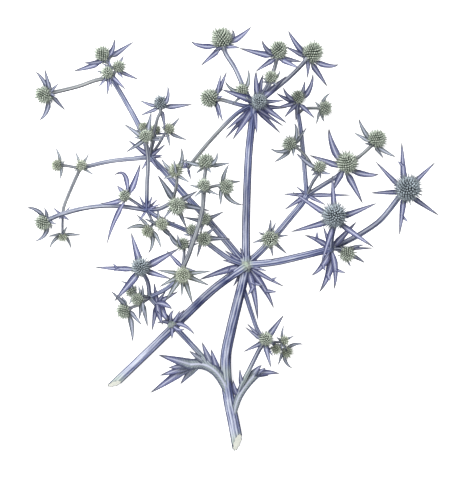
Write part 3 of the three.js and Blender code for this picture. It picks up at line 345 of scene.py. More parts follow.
HEADS = [
    # upper left
    Head("upper_left_1", "green", at=[44, 94, 9.5], wide=10.4, long=11, turn=193, lift=-6, thick=2.9,
         stalk=[UPPER_LEFT_FORK, [100, 79, 20], [78, 86, 15]], tips=[[35, 71, 3], [44.5, 68, 7],
         [59, 83, 9], [65, 110, -6], [38, 120, -5], [56, 96, 12], [51, 103, -8]], green=(0.4, 0.95),
         crest=1.15),
    Head("upper_left_2", "green", at=[103, 55, 20], wide=9.1, long=11.7, turn=124, lift=0, thick=2.3,
         stalk=[UPPER_LEFT_FORK], tips=[[114.5, 39], [134, 41], [84, 63], [73, 71]], green=(0.2, 0.5),
         crest=1.2),
    Head("upper_left_3", "green", at=[119, 67, 30], wide=7.2, long=7.8, turn=55, lift=25, thick=2,
         stalk=[UPPER_LEFT_FORK], tips=[[138.5, 79.5], [124, 55], [124, 79]]),
    Head("upper_left_4", "green", at=[107.5, 73, 33], wide=7.4, long=7.4, turn=150, lift=55, thick=2,
         stalk=[UPPER_LEFT_FORK], tips=[[98, 88], [107.5, 96], [112, 88.5], [126, 90]]),
    # left shoulder
    Head("shoulder_1", "blue", at=[161, 103, 31], wide=7.8, long=9.1, turn=88, lift=5, thick=2.2,
         stalk=[LEFT_FORK, [153, 138, 28], [158, 118, 30]], tips=[[167.5, 85, 4], [193, 104.5, 0],
         [140, 100.5, -3], [140, 116, 2], [165, 131, -4]], green=(0.25, 0.8)),
    Head("shoulder_2", "young", at=[155, 130, 20], wide=6.5, long=6, turn=90, lift=5, thick=1.8,
         stalk=[LEFT_FORK]),
    Head("shoulder_3", "young", at=[169, 129, 25], wide=6.2, long=6.5, turn=50, lift=20, thick=2,
         stalk=[LEFT_FORK, [159, 144, 24]], tips=[[180, 117, -2], [187, 140], [170, 147], [161, 126]],
         green=(0.6, 0.6)),
    Head("shoulder_4", "green", at=[146, 136.5, 46], wide=7.8, long=8.5, turn=95, lift=45, thick=2.9,
         stalk=[MIDDLE_LEFT_FORK, [147.5, 185, 37], [148.5, 160, 38]], tips=[[124, 124], [151.5, 112],
         [126, 153], [168, 136.5], [165, 140.5], [133, 137]], green=(0.6, 0.6)),
    Head("shoulder_5", "young", at=[144, 127, 36], wide=5.2, long=5.2, turn=95, lift=5, thick=1.7,
         stalk=[[148.3, 158, 38], [147, 145, 37]]),
    # outer left
    Head("outer_left_1", "young", at=[57, 165, 10], wide=6.5, long=7.8, turn=178, lift=0, thick=2,
         stalk=[OUTER_LEFT_NODE], tips=[[55, 147], [64, 160], [60, 180]], green=(0.8, 0.8)),
    Head("outer_left_2", "young", at=[81, 165, 19], wide=6.2, long=6.5, turn=95, lift=60, thick=2,
         stalk=[OUTER_LEFT_NODE], tips=[[75, 151], [89, 153], [94, 175], [74, 171]], green=(0.8, 0.8)),
    Head("outer_left_3", "young", at=[62, 237, 5.5], wide=4.9, long=5.2, turn=272, lift=0, thick=1.7,
         stalk=[[62, 216, 6]], tips=[[47, 236.5], [82, 235], [49, 249], [70, 249], [67, 226]],
         green=(0.8, 0.6)),
    Head("left_tip", "blue", at=[43, 222, 10.5], wide=9.8, long=9.8, turn=205, lift=-8, thick=3.2,
         stalk=[MIDDLE_LEFT_FORK, [120, 206, 32], [100, 206, 28], [80, 209, 22], [60, 214.5, 16]],
         tips=[[26, 208, 4], [44, 206, 6], [57, 224.5, 8], [34, 241, -4], [51, 229, -7]],
         green=(0.5, 0.4), crest=1.1, shade="green"),
    # middle left
    Head("middle_left_1", "green", at=[125, 196, 41], wide=6.5, long=7.2, turn=150, lift=25, thick=2.3,
         stalk=[MIDDLE_LEFT_FORK], tips=[Tip([114, 176, 4], via=[123, 180, 3], wide=3.4),
         Tip([141, 163, 3], via=[136, 182, -1]), [100, 203.5, -3],
         Tip([107, 245, -8], via=[113, 218, -4], wide=3.6)], green=(0.05, 0.5)),
    Head("middle_left_2", "young", at=[162, 224, 41], wide=7.2, long=7.4, turn=20, lift=45, thick=2,
         stalk=[MIDDLE_LEFT_FORK, [153, 222, 36]], tips=[[176, 222], [179, 243]], green=(0.6, 0.6)),
    Head("middle_left_3", "young", at=[148, 231, 29], wide=7.2, long=7.8, turn=235, lift=10, thick=2,
         stalk=[[153, 222, 36]], tips=[[126, 230], [148, 254], [161, 248], [136, 214]], green=(0.85, 0.8)),
    Head("middle_left_4", "green", at=[177, 206, 47], wide=10.4, long=11.7, turn=290, lift=65, thick=3,
         stalk=[MIDDLE_LEFT_FORK, [160, 209, 37]], tips=[[158, 175], Tip([198, 191, 1], wide=3.6),
         [210, 211], [163, 220], [187, 229]], green=(0.6, 0.5)),
    Head("middle_left_5", "young", at=[176, 171, 56], wide=7.8, long=8.5, turn=100, lift=20, thick=2.3,
         stalk=[[171, 205, 39], [176, 190, 50]], tips=[[181.5, 148], [162, 159], [174, 159, 7],
         [163, 179], [190, 183]], green=(0.8, 0.9)),
    # the tall inner stalk
    Head("inner_tall_1", "green", at=[206, 162, 56], wide=9.8, long=9.8, turn=88, lift=12, thick=2.6,
         stalk=[TALL_STALK_NODE, [204.5, 181, 54]], tips=[[217, 152], [231, 163], [181, 160], [196, 174],
         [212, 174]], green=(0.75, 0.8)),
    Head("inner_tall_2", "green", at=[204, 185.5, 61], wide=7.2, long=8, turn=92, lift=40, thick=2.2,
         stalk=[TALL_STALK_NODE], tips=[[189, 185], [194, 198], [220, 196], [211, 195]],
         green=(0.85, 0.9)),
    Head("inner_tall_3", "green", at=[226, 187, 55], wide=9.1, long=9.1, turn=355, lift=10, thick=2.2,
         stalk=[TALL_STALK_NODE, [210, 188, 53]], tips=[[229, 165], [241, 182], [221, 206], [243, 205]],
         green=(0.8, 0.8)),
    # inner left
    Head("inner_1", "young", at=[183, 275, 50], wide=9.4, long=9.6, turn=270, lift=78, thick=2.6,
         stalk=[[176, 280, 36.5], [181, 277, 40]], tips=[[157, 270], [211, 271], [210, 285.5],
         [182, 297], [193, 304], [159, 287], [165, 302]], green=(0.9, 0.8)),
    Head("inner_2", "green", at=[183, 244, 38], wide=7.2, long=8, turn=100, lift=20, thick=2.1,
         stalk=[TALL_STALK_FOOT], tips=[[178, 233], [169, 229, 3]], green=(0.6, 0.7)),
    Head("inner_3", "green", at=[192, 230, 40], wide=5.6, long=8.4, turn=90, lift=5, thick=2,
         stalk=[TALL_STALK_FOOT, [189, 252, 40]], green=(0.5, 0.6)),
    Head("inner_4", "green", at=[204, 239, 38], wide=8.4, long=8.6, turn=330, lift=65, thick=2.1,
         stalk=[[210, 245, 29]], tips=[[231, 239], [197, 258], [218, 225], [187, 241, -5]],
         green=(0.5, 0.6)),
    Head("inner_5", "green", at=[204.5, 219, 31], wide=7.2, long=8.4, turn=60, lift=50, thick=2.1,
         stalk=[[203, 215, 22]], tips=[[224, 211.5], [183, 217], [218, 228]], green=(0.5, 0.6)),
    # lower left cluster
    Head("cluster_1", "blue", at=[141, 267, 42], wide=11, long=11.4, turn=110, lift=65, thick=3,
         stalk=[CLUSTER_NODE, [148, 282, 31]],
         tips=[Tip([94, 267, 0], wide=3.8, teeth=[[113, 263], [114, 271]]), [131, 232], [114, 302],
         [180, 248], [172, 279]]),
    Head("cluster_2", "green", at=[138, 299, 35], wide=7.4, long=8.4, turn=180, lift=15, thick=2.1,
         stalk=[CLUSTER_NODE], tips=[[143, 284], [148, 327], [144, 316], [139, 320]], green=(0.65, 0.7)),
    Head("cluster_3", "green", at=[131, 291, 24], wide=6.5, long=7.2, turn=155, lift=0, thick=1.8,
         stalk=[CLUSTER_NODE], tips=[[120, 281, 3], [136, 284]], green=(0.5, 0.7)),
    Head("cluster_4", "green", at=[124, 311, 19], wide=9.1, long=9.1, turn=205, lift=-5, thick=2.3,
         stalk=[CLUSTER_NODE, [140, 304, 24]], tips=[[111, 291], [132.5, 342], [142, 325], [121, 296]],
         green=(0.6, 0.8)),
    # lower right
    Head("lower_right_1", "green", at=[266, 339, 21], wide=8, long=8.6, turn=60, lift=45, thick=3.2,
         stalk=[[236, 402, 5], [241, 387, 8], [250, 369, 10.5], [259, 351, 13]], tips=[[284, 315],
         [247, 323.5], [245, 327], [243, 352], [271, 368], [273, 357]], green=(0.25, 0.4)),
    Head("lower_right_2", "young", at=[276, 349.5, 12.5], wide=5.6, long=6, turn=290, lift=45, thick=1.8,
         stalk=[[267, 341, 6.1]]),
    Head("lower_right_3", "young", at=[284.5, 340.5, 13], wide=5.2, long=5.2, turn=20, lift=20, thick=1.8,
         stalk=[[267, 341, 6.1], [273, 342, 6.6]], tips=[[284, 325], [295, 336]], green=(0.6, 0.7)),
    Head("lower_right_4", "young", at=[287, 352.5, 6.5], wide=6.5, long=6.5, turn=330, lift=0, thick=1.8,
         stalk=[[267, 341, 6.1], [274, 344, 6]], tips=[[304, 345], [293, 369], [278, 366]],
         green=(0.6, 0.7)),
    # crown
    Head("crown_1", "green", at=[259, 102, 51], wide=9.4, long=9.8, turn=40, lift=70, thick=3.4,
         stalk=[CROWN_FORK], tips=[[221, 90], [256, 72, 5], [263, 74], [287, 76], [284, 101],
         [287, 124]], shade="blue"),
    Head("crown_2", "green", at=[242, 91, 46], wide=7.4, long=8, turn=115, lift=25, thick=2.3,
         stalk=[CROWN_FORK], tips=[[225, 81], [248, 70]], green=(0.9, 0.7)),
    Head("crown_3", "green", at=[271, 78, 50], wide=7.4, long=8.6, turn=80, lift=15, thick=2.3,
         stalk=[CROWN_FORK, [264, 94, 43]], tips=[[280, 70, -2]], green=(0.5, 0.6)),
    Head("crown_4", "green", at=[278, 52, 42], wide=10.4, long=12, turn=80, lift=5, thick=2.9,
         stalk=[CROWN_FORK, [264, 92, 38], [272, 76, 39.5]], tips=[[262, 41], [239, 49, 4], [255, 73],
         [302, 62], [300, 70]], green=(0.15, 0.7), crest=1.35),
    Head("crown_5", "blue", at=[222, 39, 15], wide=13, long=14.3, turn=105, lift=-5, thick=3.2,
         stalk=[CROWN_FORK, [244, 88, 33], [235, 68, 25]], tips=[[191, 41, 2], [251.5, 26, 3],
         [200, 66, -6], [232, 28, -10], [240, 48, 12], [213, 51, 11]], green=(0.1, 0.4), crest=1.2,
         shade="green"),
    Head("crown_6", "blue", at=[312, 53, 16], wide=12.4, long=13, turn=50, lift=-5, thick=3.1,
         stalk=[CROWN_FORK, [276, 89, 33], [290, 77, 26]], tips=[[288, 30, 3], [284, 46, 8],
         [339, 64, 2], [328, 87, -4], [307, 79, 9]], green=(0.1, 0.5), crest=1.3, shade="green"),
    Head("crown_7", "green", at=[210, 98, 24], wide=11, long=11.7, turn=172, lift=-5, thick=2.9,
         stalk=[CROWN_FORK, [242, 105.5, 35], [230, 102, 30]], tips=[[221, 74, 2], [227, 71, -4],
         [223, 122, 3], [219, 120, -3], [224, 96, 9]], green=(0.1, 0.95), crest=1.1),
    Head("crown_8", "green", at=[298, 98, 21], wide=7.8, long=9.1, turn=90, lift=8, thick=3,
         stalk=[[298, 113, 16]], tips=[[283, 87], [305, 80], [313, 73], [275, 108], [284, 118],
         [296, 121], [315, 119], [284, 105], [276, 93]], crest=1.2),
    Head("crown_9", "green", at=[325, 108, 15], wide=8.5, long=8.5, turn=0, lift=-5, thick=2.2,
         stalk=[[298, 114, 15.8], [304, 109, 16]], tips=[[331, 93], [315, 101], [316, 125], [325, 122]],
         green=(0.85, 0.95)),
    # far right
    Head("far_right_1", "green", at=[290, 144, 21], wide=8.5, long=9.1, turn=150, lift=10, thick=2,
         stalk=[[316, 172, 19], [306, 156, 20]], tips=[[294, 123], [307, 127], [270, 148], [274, 162],
         [293, 157], [302, 146]], green=(0.75, 0.95)),
    Head("far_right_2", "green", at=[320, 167, 25], wide=6.8, long=7.8, turn=75, lift=25, thick=2.3,
         stalk=[FAR_FORK, [313, 182, 17]], tips=[[296, 153], [310, 170], [311, 176], [321, 179],
         [331, 174]], green=(0.5, 0.7)),
    Head("far_right_3", "green", at=[347, 163, 24], wide=13, long=14, turn=60, lift=30, thick=3.2,
         stalk=[FAR_FORK, [325, 184, 13]], tips=[[329, 128], [309, 155], [379, 174], [363, 204],
         [330, 195]], green=(0.15, 0.35)),
    Head("far_right_4", "green", at=[377, 139, 14], wide=11, long=11.7, turn=50, lift=5, thick=2.6,
         stalk=[[337, 176, 16], [352, 163, 11]], tips=[[359, 118], [354, 132], [396, 157], [384, 158],
         [364, 144]], green=(0.7, 0.95), crest=1.1),
    # right
    Head("right_1", "blue", at=[334, 216, 49], wide=15, long=16.6, turn=95, lift=62, thick=3.4,
         stalk=[RIGHT_FORK, [332, 236, 32]], tips=[Tip([332, 175], wide=4.1), Tip([377, 203], wide=4.1),
         Tip([290, 232], wide=4.1), Tip([291, 191], wide=3.8), Tip([374, 248], wide=4.1),
         Tip([320, 265], wide=3.8)]),
    Head("right_2", "green", at=[347, 254, 30], wide=9.1, long=9.4, turn=320, lift=35, thick=2.3,
         stalk=[RIGHT_FORK], tips=[[365, 263], [351, 267], [364, 245]], green=(0.35, 0.5)),
    Head("right_3", "blue", at=[408, 189, 24], wide=16.3, long=17.4, turn=40, lift=62, thick=3.9,
         stalk=[RIGHT_FORK, [350, 240, 21], [366, 231, 16], [382, 219, 10]],
         tips=[Tip([402, 141], wide=4.3, teeth=[[398, 161]]), Tip([375, 161], wide=3.4),
         Tip([370, 193], wide=3.4), Tip([399, 236], wide=4.1, teeth=[[408, 222]]),
         Tip([440, 216], wide=3.6), Tip([437, 161], wide=3.6)], crest=1.15),
    Head("main_fork_head", "young", at=[270, 239, 27], wide=10.4, long=8, turn=300, lift=68, thick=2.9,
         stalk=[[273, 238.5, 16]], tips=[[271, 218], [276, 222], [289, 235], [287, 254], [273, 257],
         [252, 243], [258, 232]], green=(0.5, 0.5), shade="green"),
]

WHORLS = [
    Whorl(MAIN_FORK, 4.5, [Tip([199, 280, 2], via=[220, 271, 4], wide=4.8, teeth=[[227, 276]]),
          [222, 260, 6], [224, 250, 7], [240, 247, 8], [236, 249, -5],
          Tip([258, 321, -8], via=[255, 288, -2], wide=4.8, teeth=[[248, 295], [263, 286]]),
          Tip([274, 309, -9], via=[266, 286, -4], wide=4.8, teeth=[[277, 292]]),
          Tip([285, 287, -3], via=[266, 278, 0], wide=3.1, teeth=[[277, 277]]), [275, 259, 4],
          [267, 271, 4], [233, 287, -6]]),
    Whorl(CROWN_FORK, 3.2, [Tip([284, 127, -2], wide=3.1), Tip([281, 134, -8], wide=3.6), [257, 135, 6],
          Tip([225, 131, 0], wide=3.4), Tip([224, 140, -8], wide=3.6), [232, 141, 3], [263, 74, -10],
          [287, 108, -8]]),
    Whorl(LEFT_FORK, 2.4, [[128, 140, 5], [134, 156, -6], [166, 144, 6], [164, 155, 4], [141, 171, 3],
          [159, 171, 6], [163, 157, -7]]),
    Whorl([62, 216, 6], 1.2, [[52, 207], [70, 206], [69, 220, 5], [58, 219, 3]]),
    Whorl(MIDDLE_LEFT_FORK, 2.2, [[139, 195, 4], [153, 195, 6], [158, 199, -4], [161, 204, 5],
          [138, 223, 2]]),
    Whorl([188, 168, 42], 1.6, [[186, 158, 3], [191, 180, -2], [181, 160, -3], [178, 166, 2]]),
    Whorl(TALL_STALK_FOOT, 2, [[166, 250, 1], [199, 272, 1]]),
    Whorl(LOWER_LEFT_FORK, 2.6, [Tip([174, 310, 6], via=[168, 315, 6], wide=3),
          Tip([180, 310, 8], via=[177, 318, 7], wide=2.8), Tip([185, 309, 2], wide=2.8),
          Tip([195, 335, 4], via=[184, 321, 5], wide=3.2),
          Tip([185, 329, 7], via=[177, 332, 6], wide=2.8), Tip([172, 339, 6], wide=3),
          Tip([157, 323, 5], via=[165, 320, 5], wide=2.8)]),
    Whorl([157, 303, 26.5], 2.2, [Tip([152, 331, 1], wide=3.6),
          Tip([172, 309, 3], via=[166, 303, 4], wide=4.6), Tip([154, 282, 3], wide=3.2),
          Tip([179, 291, 2], wide=3.2), Tip([168, 321, 1], wide=6.4),
          Tip([163, 325, 0], via=[158, 314, 2], wide=4.6), Tip([166, 291, 2], wide=2.6)]),
    Whorl(FAR_FORK, 2.4, [[296, 186, 5], [283, 194, 2], [284, 210, 4], Tip([353, 195, 1], wide=2.9),
          [326, 205, 4]]),
    Whorl(RIGHT_FORK, 3.4, [Tip([304, 235, 4], via=[319, 239, 3], wide=4.1, teeth=[[317, 231]]),
          [323, 226, 5], [357, 221, 6], Tip([375, 248, -5], wide=3.1),
          Tip([311, 276, -2], via=[325, 267, 1], wide=4.8, teeth=[[325, 271]]),
          Tip([319, 293, -7], via=[334, 270, -1], wide=6, teeth=[[330, 281]]),
          Tip([334, 290, -6], via=[338, 270, 3], wide=4.3, teeth=[[346, 273]]), [323, 261, 6],
          [348, 238, -7]]),
]

LEAVES = [
    Leaf(
        sheath=[[229, 403, 6.6], [224, 384, 7.2], [214.5, 370.5, 8.5], [203, 364.5, 8.5], [190, 364.5, 9]],
        wide=(6, 7.6),
        lobes=[
            Lobe([178, 361, 12], [158, 355, 15], 6),
            Lobe([180, 367, 9], [168, 368, 11], 4.8),
            Lobe([178, 371, 8], [159, 376, 9], 5.3),
            Lobe([172, 379, 6], [149, 394, 3], 6),
            Lobe([189, 373, 6], [180, 385, 3], 4.8, root=[196, 367, 9]),
            Lobe([197, 357, 13], [189, 351, 15], 4.1, root=[204, 362, 9]),
            Lobe([206, 354, 13], [202, 342, 14], 4.3, root=[212, 366, 8]),
            Lobe([214, 361, 11], [211, 349, 12], 4.3, root=[218, 372, 7]),
        ],
    ),
    Leaf(
        sheath=[[234, 422, 6], [235.5, 407, 6.6], [240, 395, 7], [248, 383, 7.2], [255, 375, 7.5]],
        wide=(4.2, 6.6),
        lobes=[
            Lobe([264, 371, 8], [280, 374, 9], 4.8),
            Lobe([261, 375, 6], [269, 376, 3], 3.6),
            Lobe([259, 372, 10], [266, 368, 12], 3.6),
            Lobe([256, 370, 10], [262, 365, 12], 4.3, root=[252, 376, 8]),
            Lobe([240, 380, 11], [240, 369, 13], 3.6, root=[243, 388, 7]),
            Lobe([234, 390, 10], [233, 380, 12], 3.6, root=[238, 396, 6]),
        ],
    ),
]

FORKS = [
    Fork(MAIN_FORK, 7.8, pale=1.0), Fork(CROWN_FORK, 4.4, pale=0.0), Fork(RIGHT_FORK, 4.8, pale=0.1),
    Fork(FAR_FORK, 3.6, pale=0.0), Fork(LEFT_FORK, 3.8, pale=0.1), Fork(UPPER_LEFT_FORK, 3.2, pale=0.3),
    Fork(OUTER_LEFT_NODE, 2.6, pale=0.4), Fork(MIDDLE_LEFT_FORK, 3.6, pale=0.0),
    Fork(LOWER_LEFT_FORK, 6.4, pale=0.7), Fork(CLUSTER_NODE, 3.8, pale=0.5),
    Fork(TALL_STALK_FOOT, 3.4, pale=0.2), Fork(TALL_STALK_NODE, 3.0, pale=0.3),
]

# Where the stems are darker: partly their own deeper blue, partly painted shade near the crown and the
# forks.
SHADES = [
    Patch([254, 116, 36], 27, 1), Patch([240, 287, 18], 8, 1), Patch([316, 253, 25], 13, 0.7),
    Patch([226, 278, 22], 9, 1), Patch([148, 205, 36], 9, 1), Patch([200, 303, 13], 7, 1),
    Patch([238, 425, 7], 48, 0.4), Patch([290, 262, 18], 26, 0.3),
]

# Where a leaf or a cut leaves a stem pale green.
FRESH = [
    Patch([222, 374, 8], 8, 0.6), Patch([237, 404, 7], 7, 0.5), Patch([194, 366, 9], 15, 0.75),
    Patch([251, 380, 7.5], 11, 0.65), Patch([236, 450, 4], 14, 0.9), Patch([117, 384, 3], 10, 0.8),
]


# ---- Placing ----


def place(spot):
    right, down, height = spot
    return Vector(((right - PLAN_MIDDLE[0]) * STEP, (PLAN_MIDDLE[1] - down) * STEP, height))


def pointing(faced):
    """Which way a head or a cut end faces."""
    around, up = math.radians(faced.turn), math.radians(faced.lift)
    return Vector((math.cos(up) * math.cos(around), math.cos(up) * math.sin(around), math.sin(up)))


def mixed(start, end, share):
    return start + (end - start) * share


def eased(value, low, high):
    share = min(max((value - low) / (high - low), 0), 1)
    return share * share * (3 - 2 * share)


def through(points, steps):
    """A smooth run through the points, with so many steps from each to the next."""
    run = []
    ends = [points[0] * 2 - points[1], *points, points[-1] * 2 - points[-2]]
    for before, start, end, after in zip(ends, ends[1:], ends[2:], ends[3:]):
        first, middle, last = (
            math.sqrt((b - a).length) for a, b in ((before, start), (start, end), (end, after))
        )
        leaving = (start - before) / first - (end - before) / (first + middle)
        leaving = (leaving + (end - start) / middle) * (middle / 3)
        arriving = (end - start) / middle - (after - start) / (middle + last)
        arriving = (arriving + (after - end) / last) * (middle / 3)
        handles = start, start + leaving, end - arriving, end
        run += geometry.interpolate_bezier(*handles, steps + 1)[:-1]
    return [*run, points[-1]]


def bent(base, bend, end, steps):
    """Points along the curve from base to end that bends towards bend."""
    return geometry.interpolate_bezier(
        base, mixed(base, bend, 2 / 3), mixed(end, bend, 2 / 3), end, steps + 1
    )


def length_of(run):
    return sum((b - a).length for a, b in zip(run, run[1:]))


def directions(run):
    """Which way a run of points goes at each of them."""
    ahead = [*run[1:], run[-1] * 2 - run[-2]]
    behind = [run[0] * 2 - run[1], *run[:-1]]
    return [(b - a).normalized() for a, b in zip(behind, ahead)]


def frames_along(run):
    """At each point of a run: the point and two directions across it that never twist. The
    first and the last come twice, so that a tube can close there."""
    forwards = directions(run)
    side = crossing(forwards[0])
    frames = []
    for point, forward in zip(run, forwards):
        side = (side - forward * side.dot(forward)).normalized()
        frames.append((point, side, forward.cross(side)))
    return [frames[0], *frames, frames[-1]]


def crossing(axis):
    """Any direction square to an axis."""
    side = SKYWARD.cross(axis)
    if side.length < 0.1:
        side = Vector((1, 0, 0))
    return (side - axis * side.dot(axis)).normalized()


def nearness(point, at, reach, bounds):
    """1 up to the first bound, 0 past the second: both are shares of how far a place reaches."""
    return 1 - eased((point - place(at)).length / reach, *bounds)


def swelling(point):
    """How near a point is to the middle of a fork, from 0 to 1."""
    return max(nearness(point, fork.at, fork.thick, SWOLLEN_REACH) for fork in FORKS)


def paleness(point):
    """How pale green the skin is at a point, up to 1, or how dark, down to -1: partly the stems' deeper
    blue, partly painted shade.
    """
    forks = [fork.pale * nearness(point, fork.at, fork.thick, PALE_REACH) for fork in FORKS]
    fresh = [patch.strength * nearness(point, patch.at, patch.reach, FRESH_REACH) for patch in FRESH]
    dark = [patch.strength * nearness(point, patch.at, patch.reach, SHADE_REACH) for patch in SHADES]
    return max(*forks, *fresh) or -max(dark)


# ---- Bracts ----


def ring_of_bracts(base, axis, tips, hub, head=None):
    """The bracts round an axis, as the plain solids have them."""
    start = crossing(axis)
    across = axis.cross(start)

    def turn_of(vector):
        return math.atan2(vector.dot(across), vector.dot(start))

    plain = [tip if isinstance(tip, Tip) else Tip(tip) for tip in tips]
    runs = [(place((*tip.to[:2], base.z)) - base).length for tip in plain]
    reach = max([hub * LEAST_REACH, *runs])
    bracts = []
    for i, tip in enumerate(plain):
        end = tip_place(tip.to, i, base, axis, reach)
        angle = turn_of(end - base)
        bracts.append(
            SimpleNamespace(end=end, via=tip.via, wide=tip.wide, teeth=tip.teeth, angle=angle)
        )
    fill_gaps(bracts, base, start, across, reach)
    for bract in bracts:
        shape_bract(bract, base, axis, hub, head)
    return bracts


def tip_place(to, i, base, axis, reach):
    """Where a bract ends: square to its ring's axis, or splayed up and down by turns where the
    ring stands on edge, or as high as the plan says."""
    end = place((to[0], to[1], base.z))
    flat = end - base
    run = flat.length
    square = RING_LIFT * run - flat.dot(axis) / max(axis.z, 0.01)
    square = min(max(square, -STEEPEST_FALL * run), STEEPEST_RISE * run)
    free = (-SPLAY if i % 2 else SPLAY) * math.sqrt(max(0, reach**2 - run**2))
    rise = to[2] if len(to) > 2 else mixed(free, square, eased(axis.z, ON_EDGE, FACING_UP))
    end.z = max(base.z + rise, TABLE_REACH)
    return end


def fill_gaps(bracts, base, start, across, reach):
    """Adds bracts in wide gaps that face the table."""

    def out_at(angle):
        return start * math.cos(angle) + across * math.sin(angle)

    while len(bracts) < MOST_BRACTS:
        bracts.sort(key=lambda bract: bract.angle)
        angles = [bract.angle for bract in bracts]
        gaps = [(b - a, (a + b) / 2) for a, b in zip(angles, angles[1:])]
        if angles:
            after = angles[0] + 2 * math.pi
            gaps.append((after - angles[-1], (angles[-1] + after) / 2))
        else:
            gaps.append((2 * math.pi, 0))
        few = len(bracts) < LEAST_BRACTS
        gaps = [(w, m) for w, m in gaps if few or (w > WIDEST_GAP and out_at(m).z < 0)]
        if not gaps:
            return
        middle = max(gaps, key=lambda gap: gap[0])[1]
        end = base + out_at(middle) * FILLER_REACH * reach
        end.z = max(end.z, TABLE_REACH)
        angle = math.atan2(math.sin(middle), math.cos(middle))
        bracts.append(SimpleNamespace(end=end, via=None, wide=None, teeth=(), angle=angle))
    bracts.sort(key=lambda bract: bract.angle)


def shape_bract(bract, base, axis, hub, head):
    """Gives a bract its curve, bent out as far as it takes to clear the head, and its width."""
    outward = bract.end - base
    lean = max(0, outward.dot(axis) / outward.length)
    outward = (outward - axis * outward.dot(axis)).normalized()
    bend = mixed(base + outward * hub * (1 + lean), bract.end, RING_LIFT)
    if bract.via:
        bend = place((*bract.via[:2], max(base.z + bract.via[2], TABLE_REACH)))
    tries = 0
    while head and tries < MOST_TRIES and touches(bent(base, bend, bract.end, TRIED_STEPS), head):
        bend = bend + outward * hub * BEND_STEP
        tries += 1
    if not bract.via:
        bend = mixed(bend, mixed(base, bract.end, 0.5), STRAIGHTNESS)
    bract.curve = (base, bend, bract.end)
    if bract.wide is None:
        length = length_of(bent(*bract.curve, CURVE_STEPS))
        bract.wide = max(BRACT_LEAST_WIDTH, length * BRACT_WIDTH_SHARE)
    chord = (bract.end - base).normalized()
    bract.up = (axis * chord.dot(outward) - outward * chord.dot(axis)).normalized()


def touches(run, head):
    """Whether a bract's curve passes through the room that its own head needs."""
    axis, centre = pointing(head), place(head.at)
    room = 0.5 * CORE_SHARE * SPINE_REACH
    floor = -0.5 * CORE_SHARE * HEAD_BASE_SHARE * head.long
    for point in run:
        offset = point - centre
        along = offset.dot(axis)
        across = (offset - axis * along).length - BRACT_CLEARANCE
        if along > floor and math.hypot(along / head.long, across / head.wide) < room:
            return True
    return False


def base_of(head):
    """The middle of the disc that a head's stalk ends in."""
    down = head.long / 2 * CORE_SHARE * HEAD_BASE_SHARE + SEAT_GAP
    return place(head.at) - pointing(head) * down


# ---- Growing shapes ----

MARKS = (
    "ridge",  # 1 on the crest of a rib, 0 in a furrow
    "green",  # how far grey-green instead of violet
    "pale",  # how far pale green, or dark below 0: deeper blue and painted shade
    "tip",  # how far along a blade
    "sky",  # how far it faces up
    "sunny",  # painted highlight on the side towards the key light, painted shade below 0
)


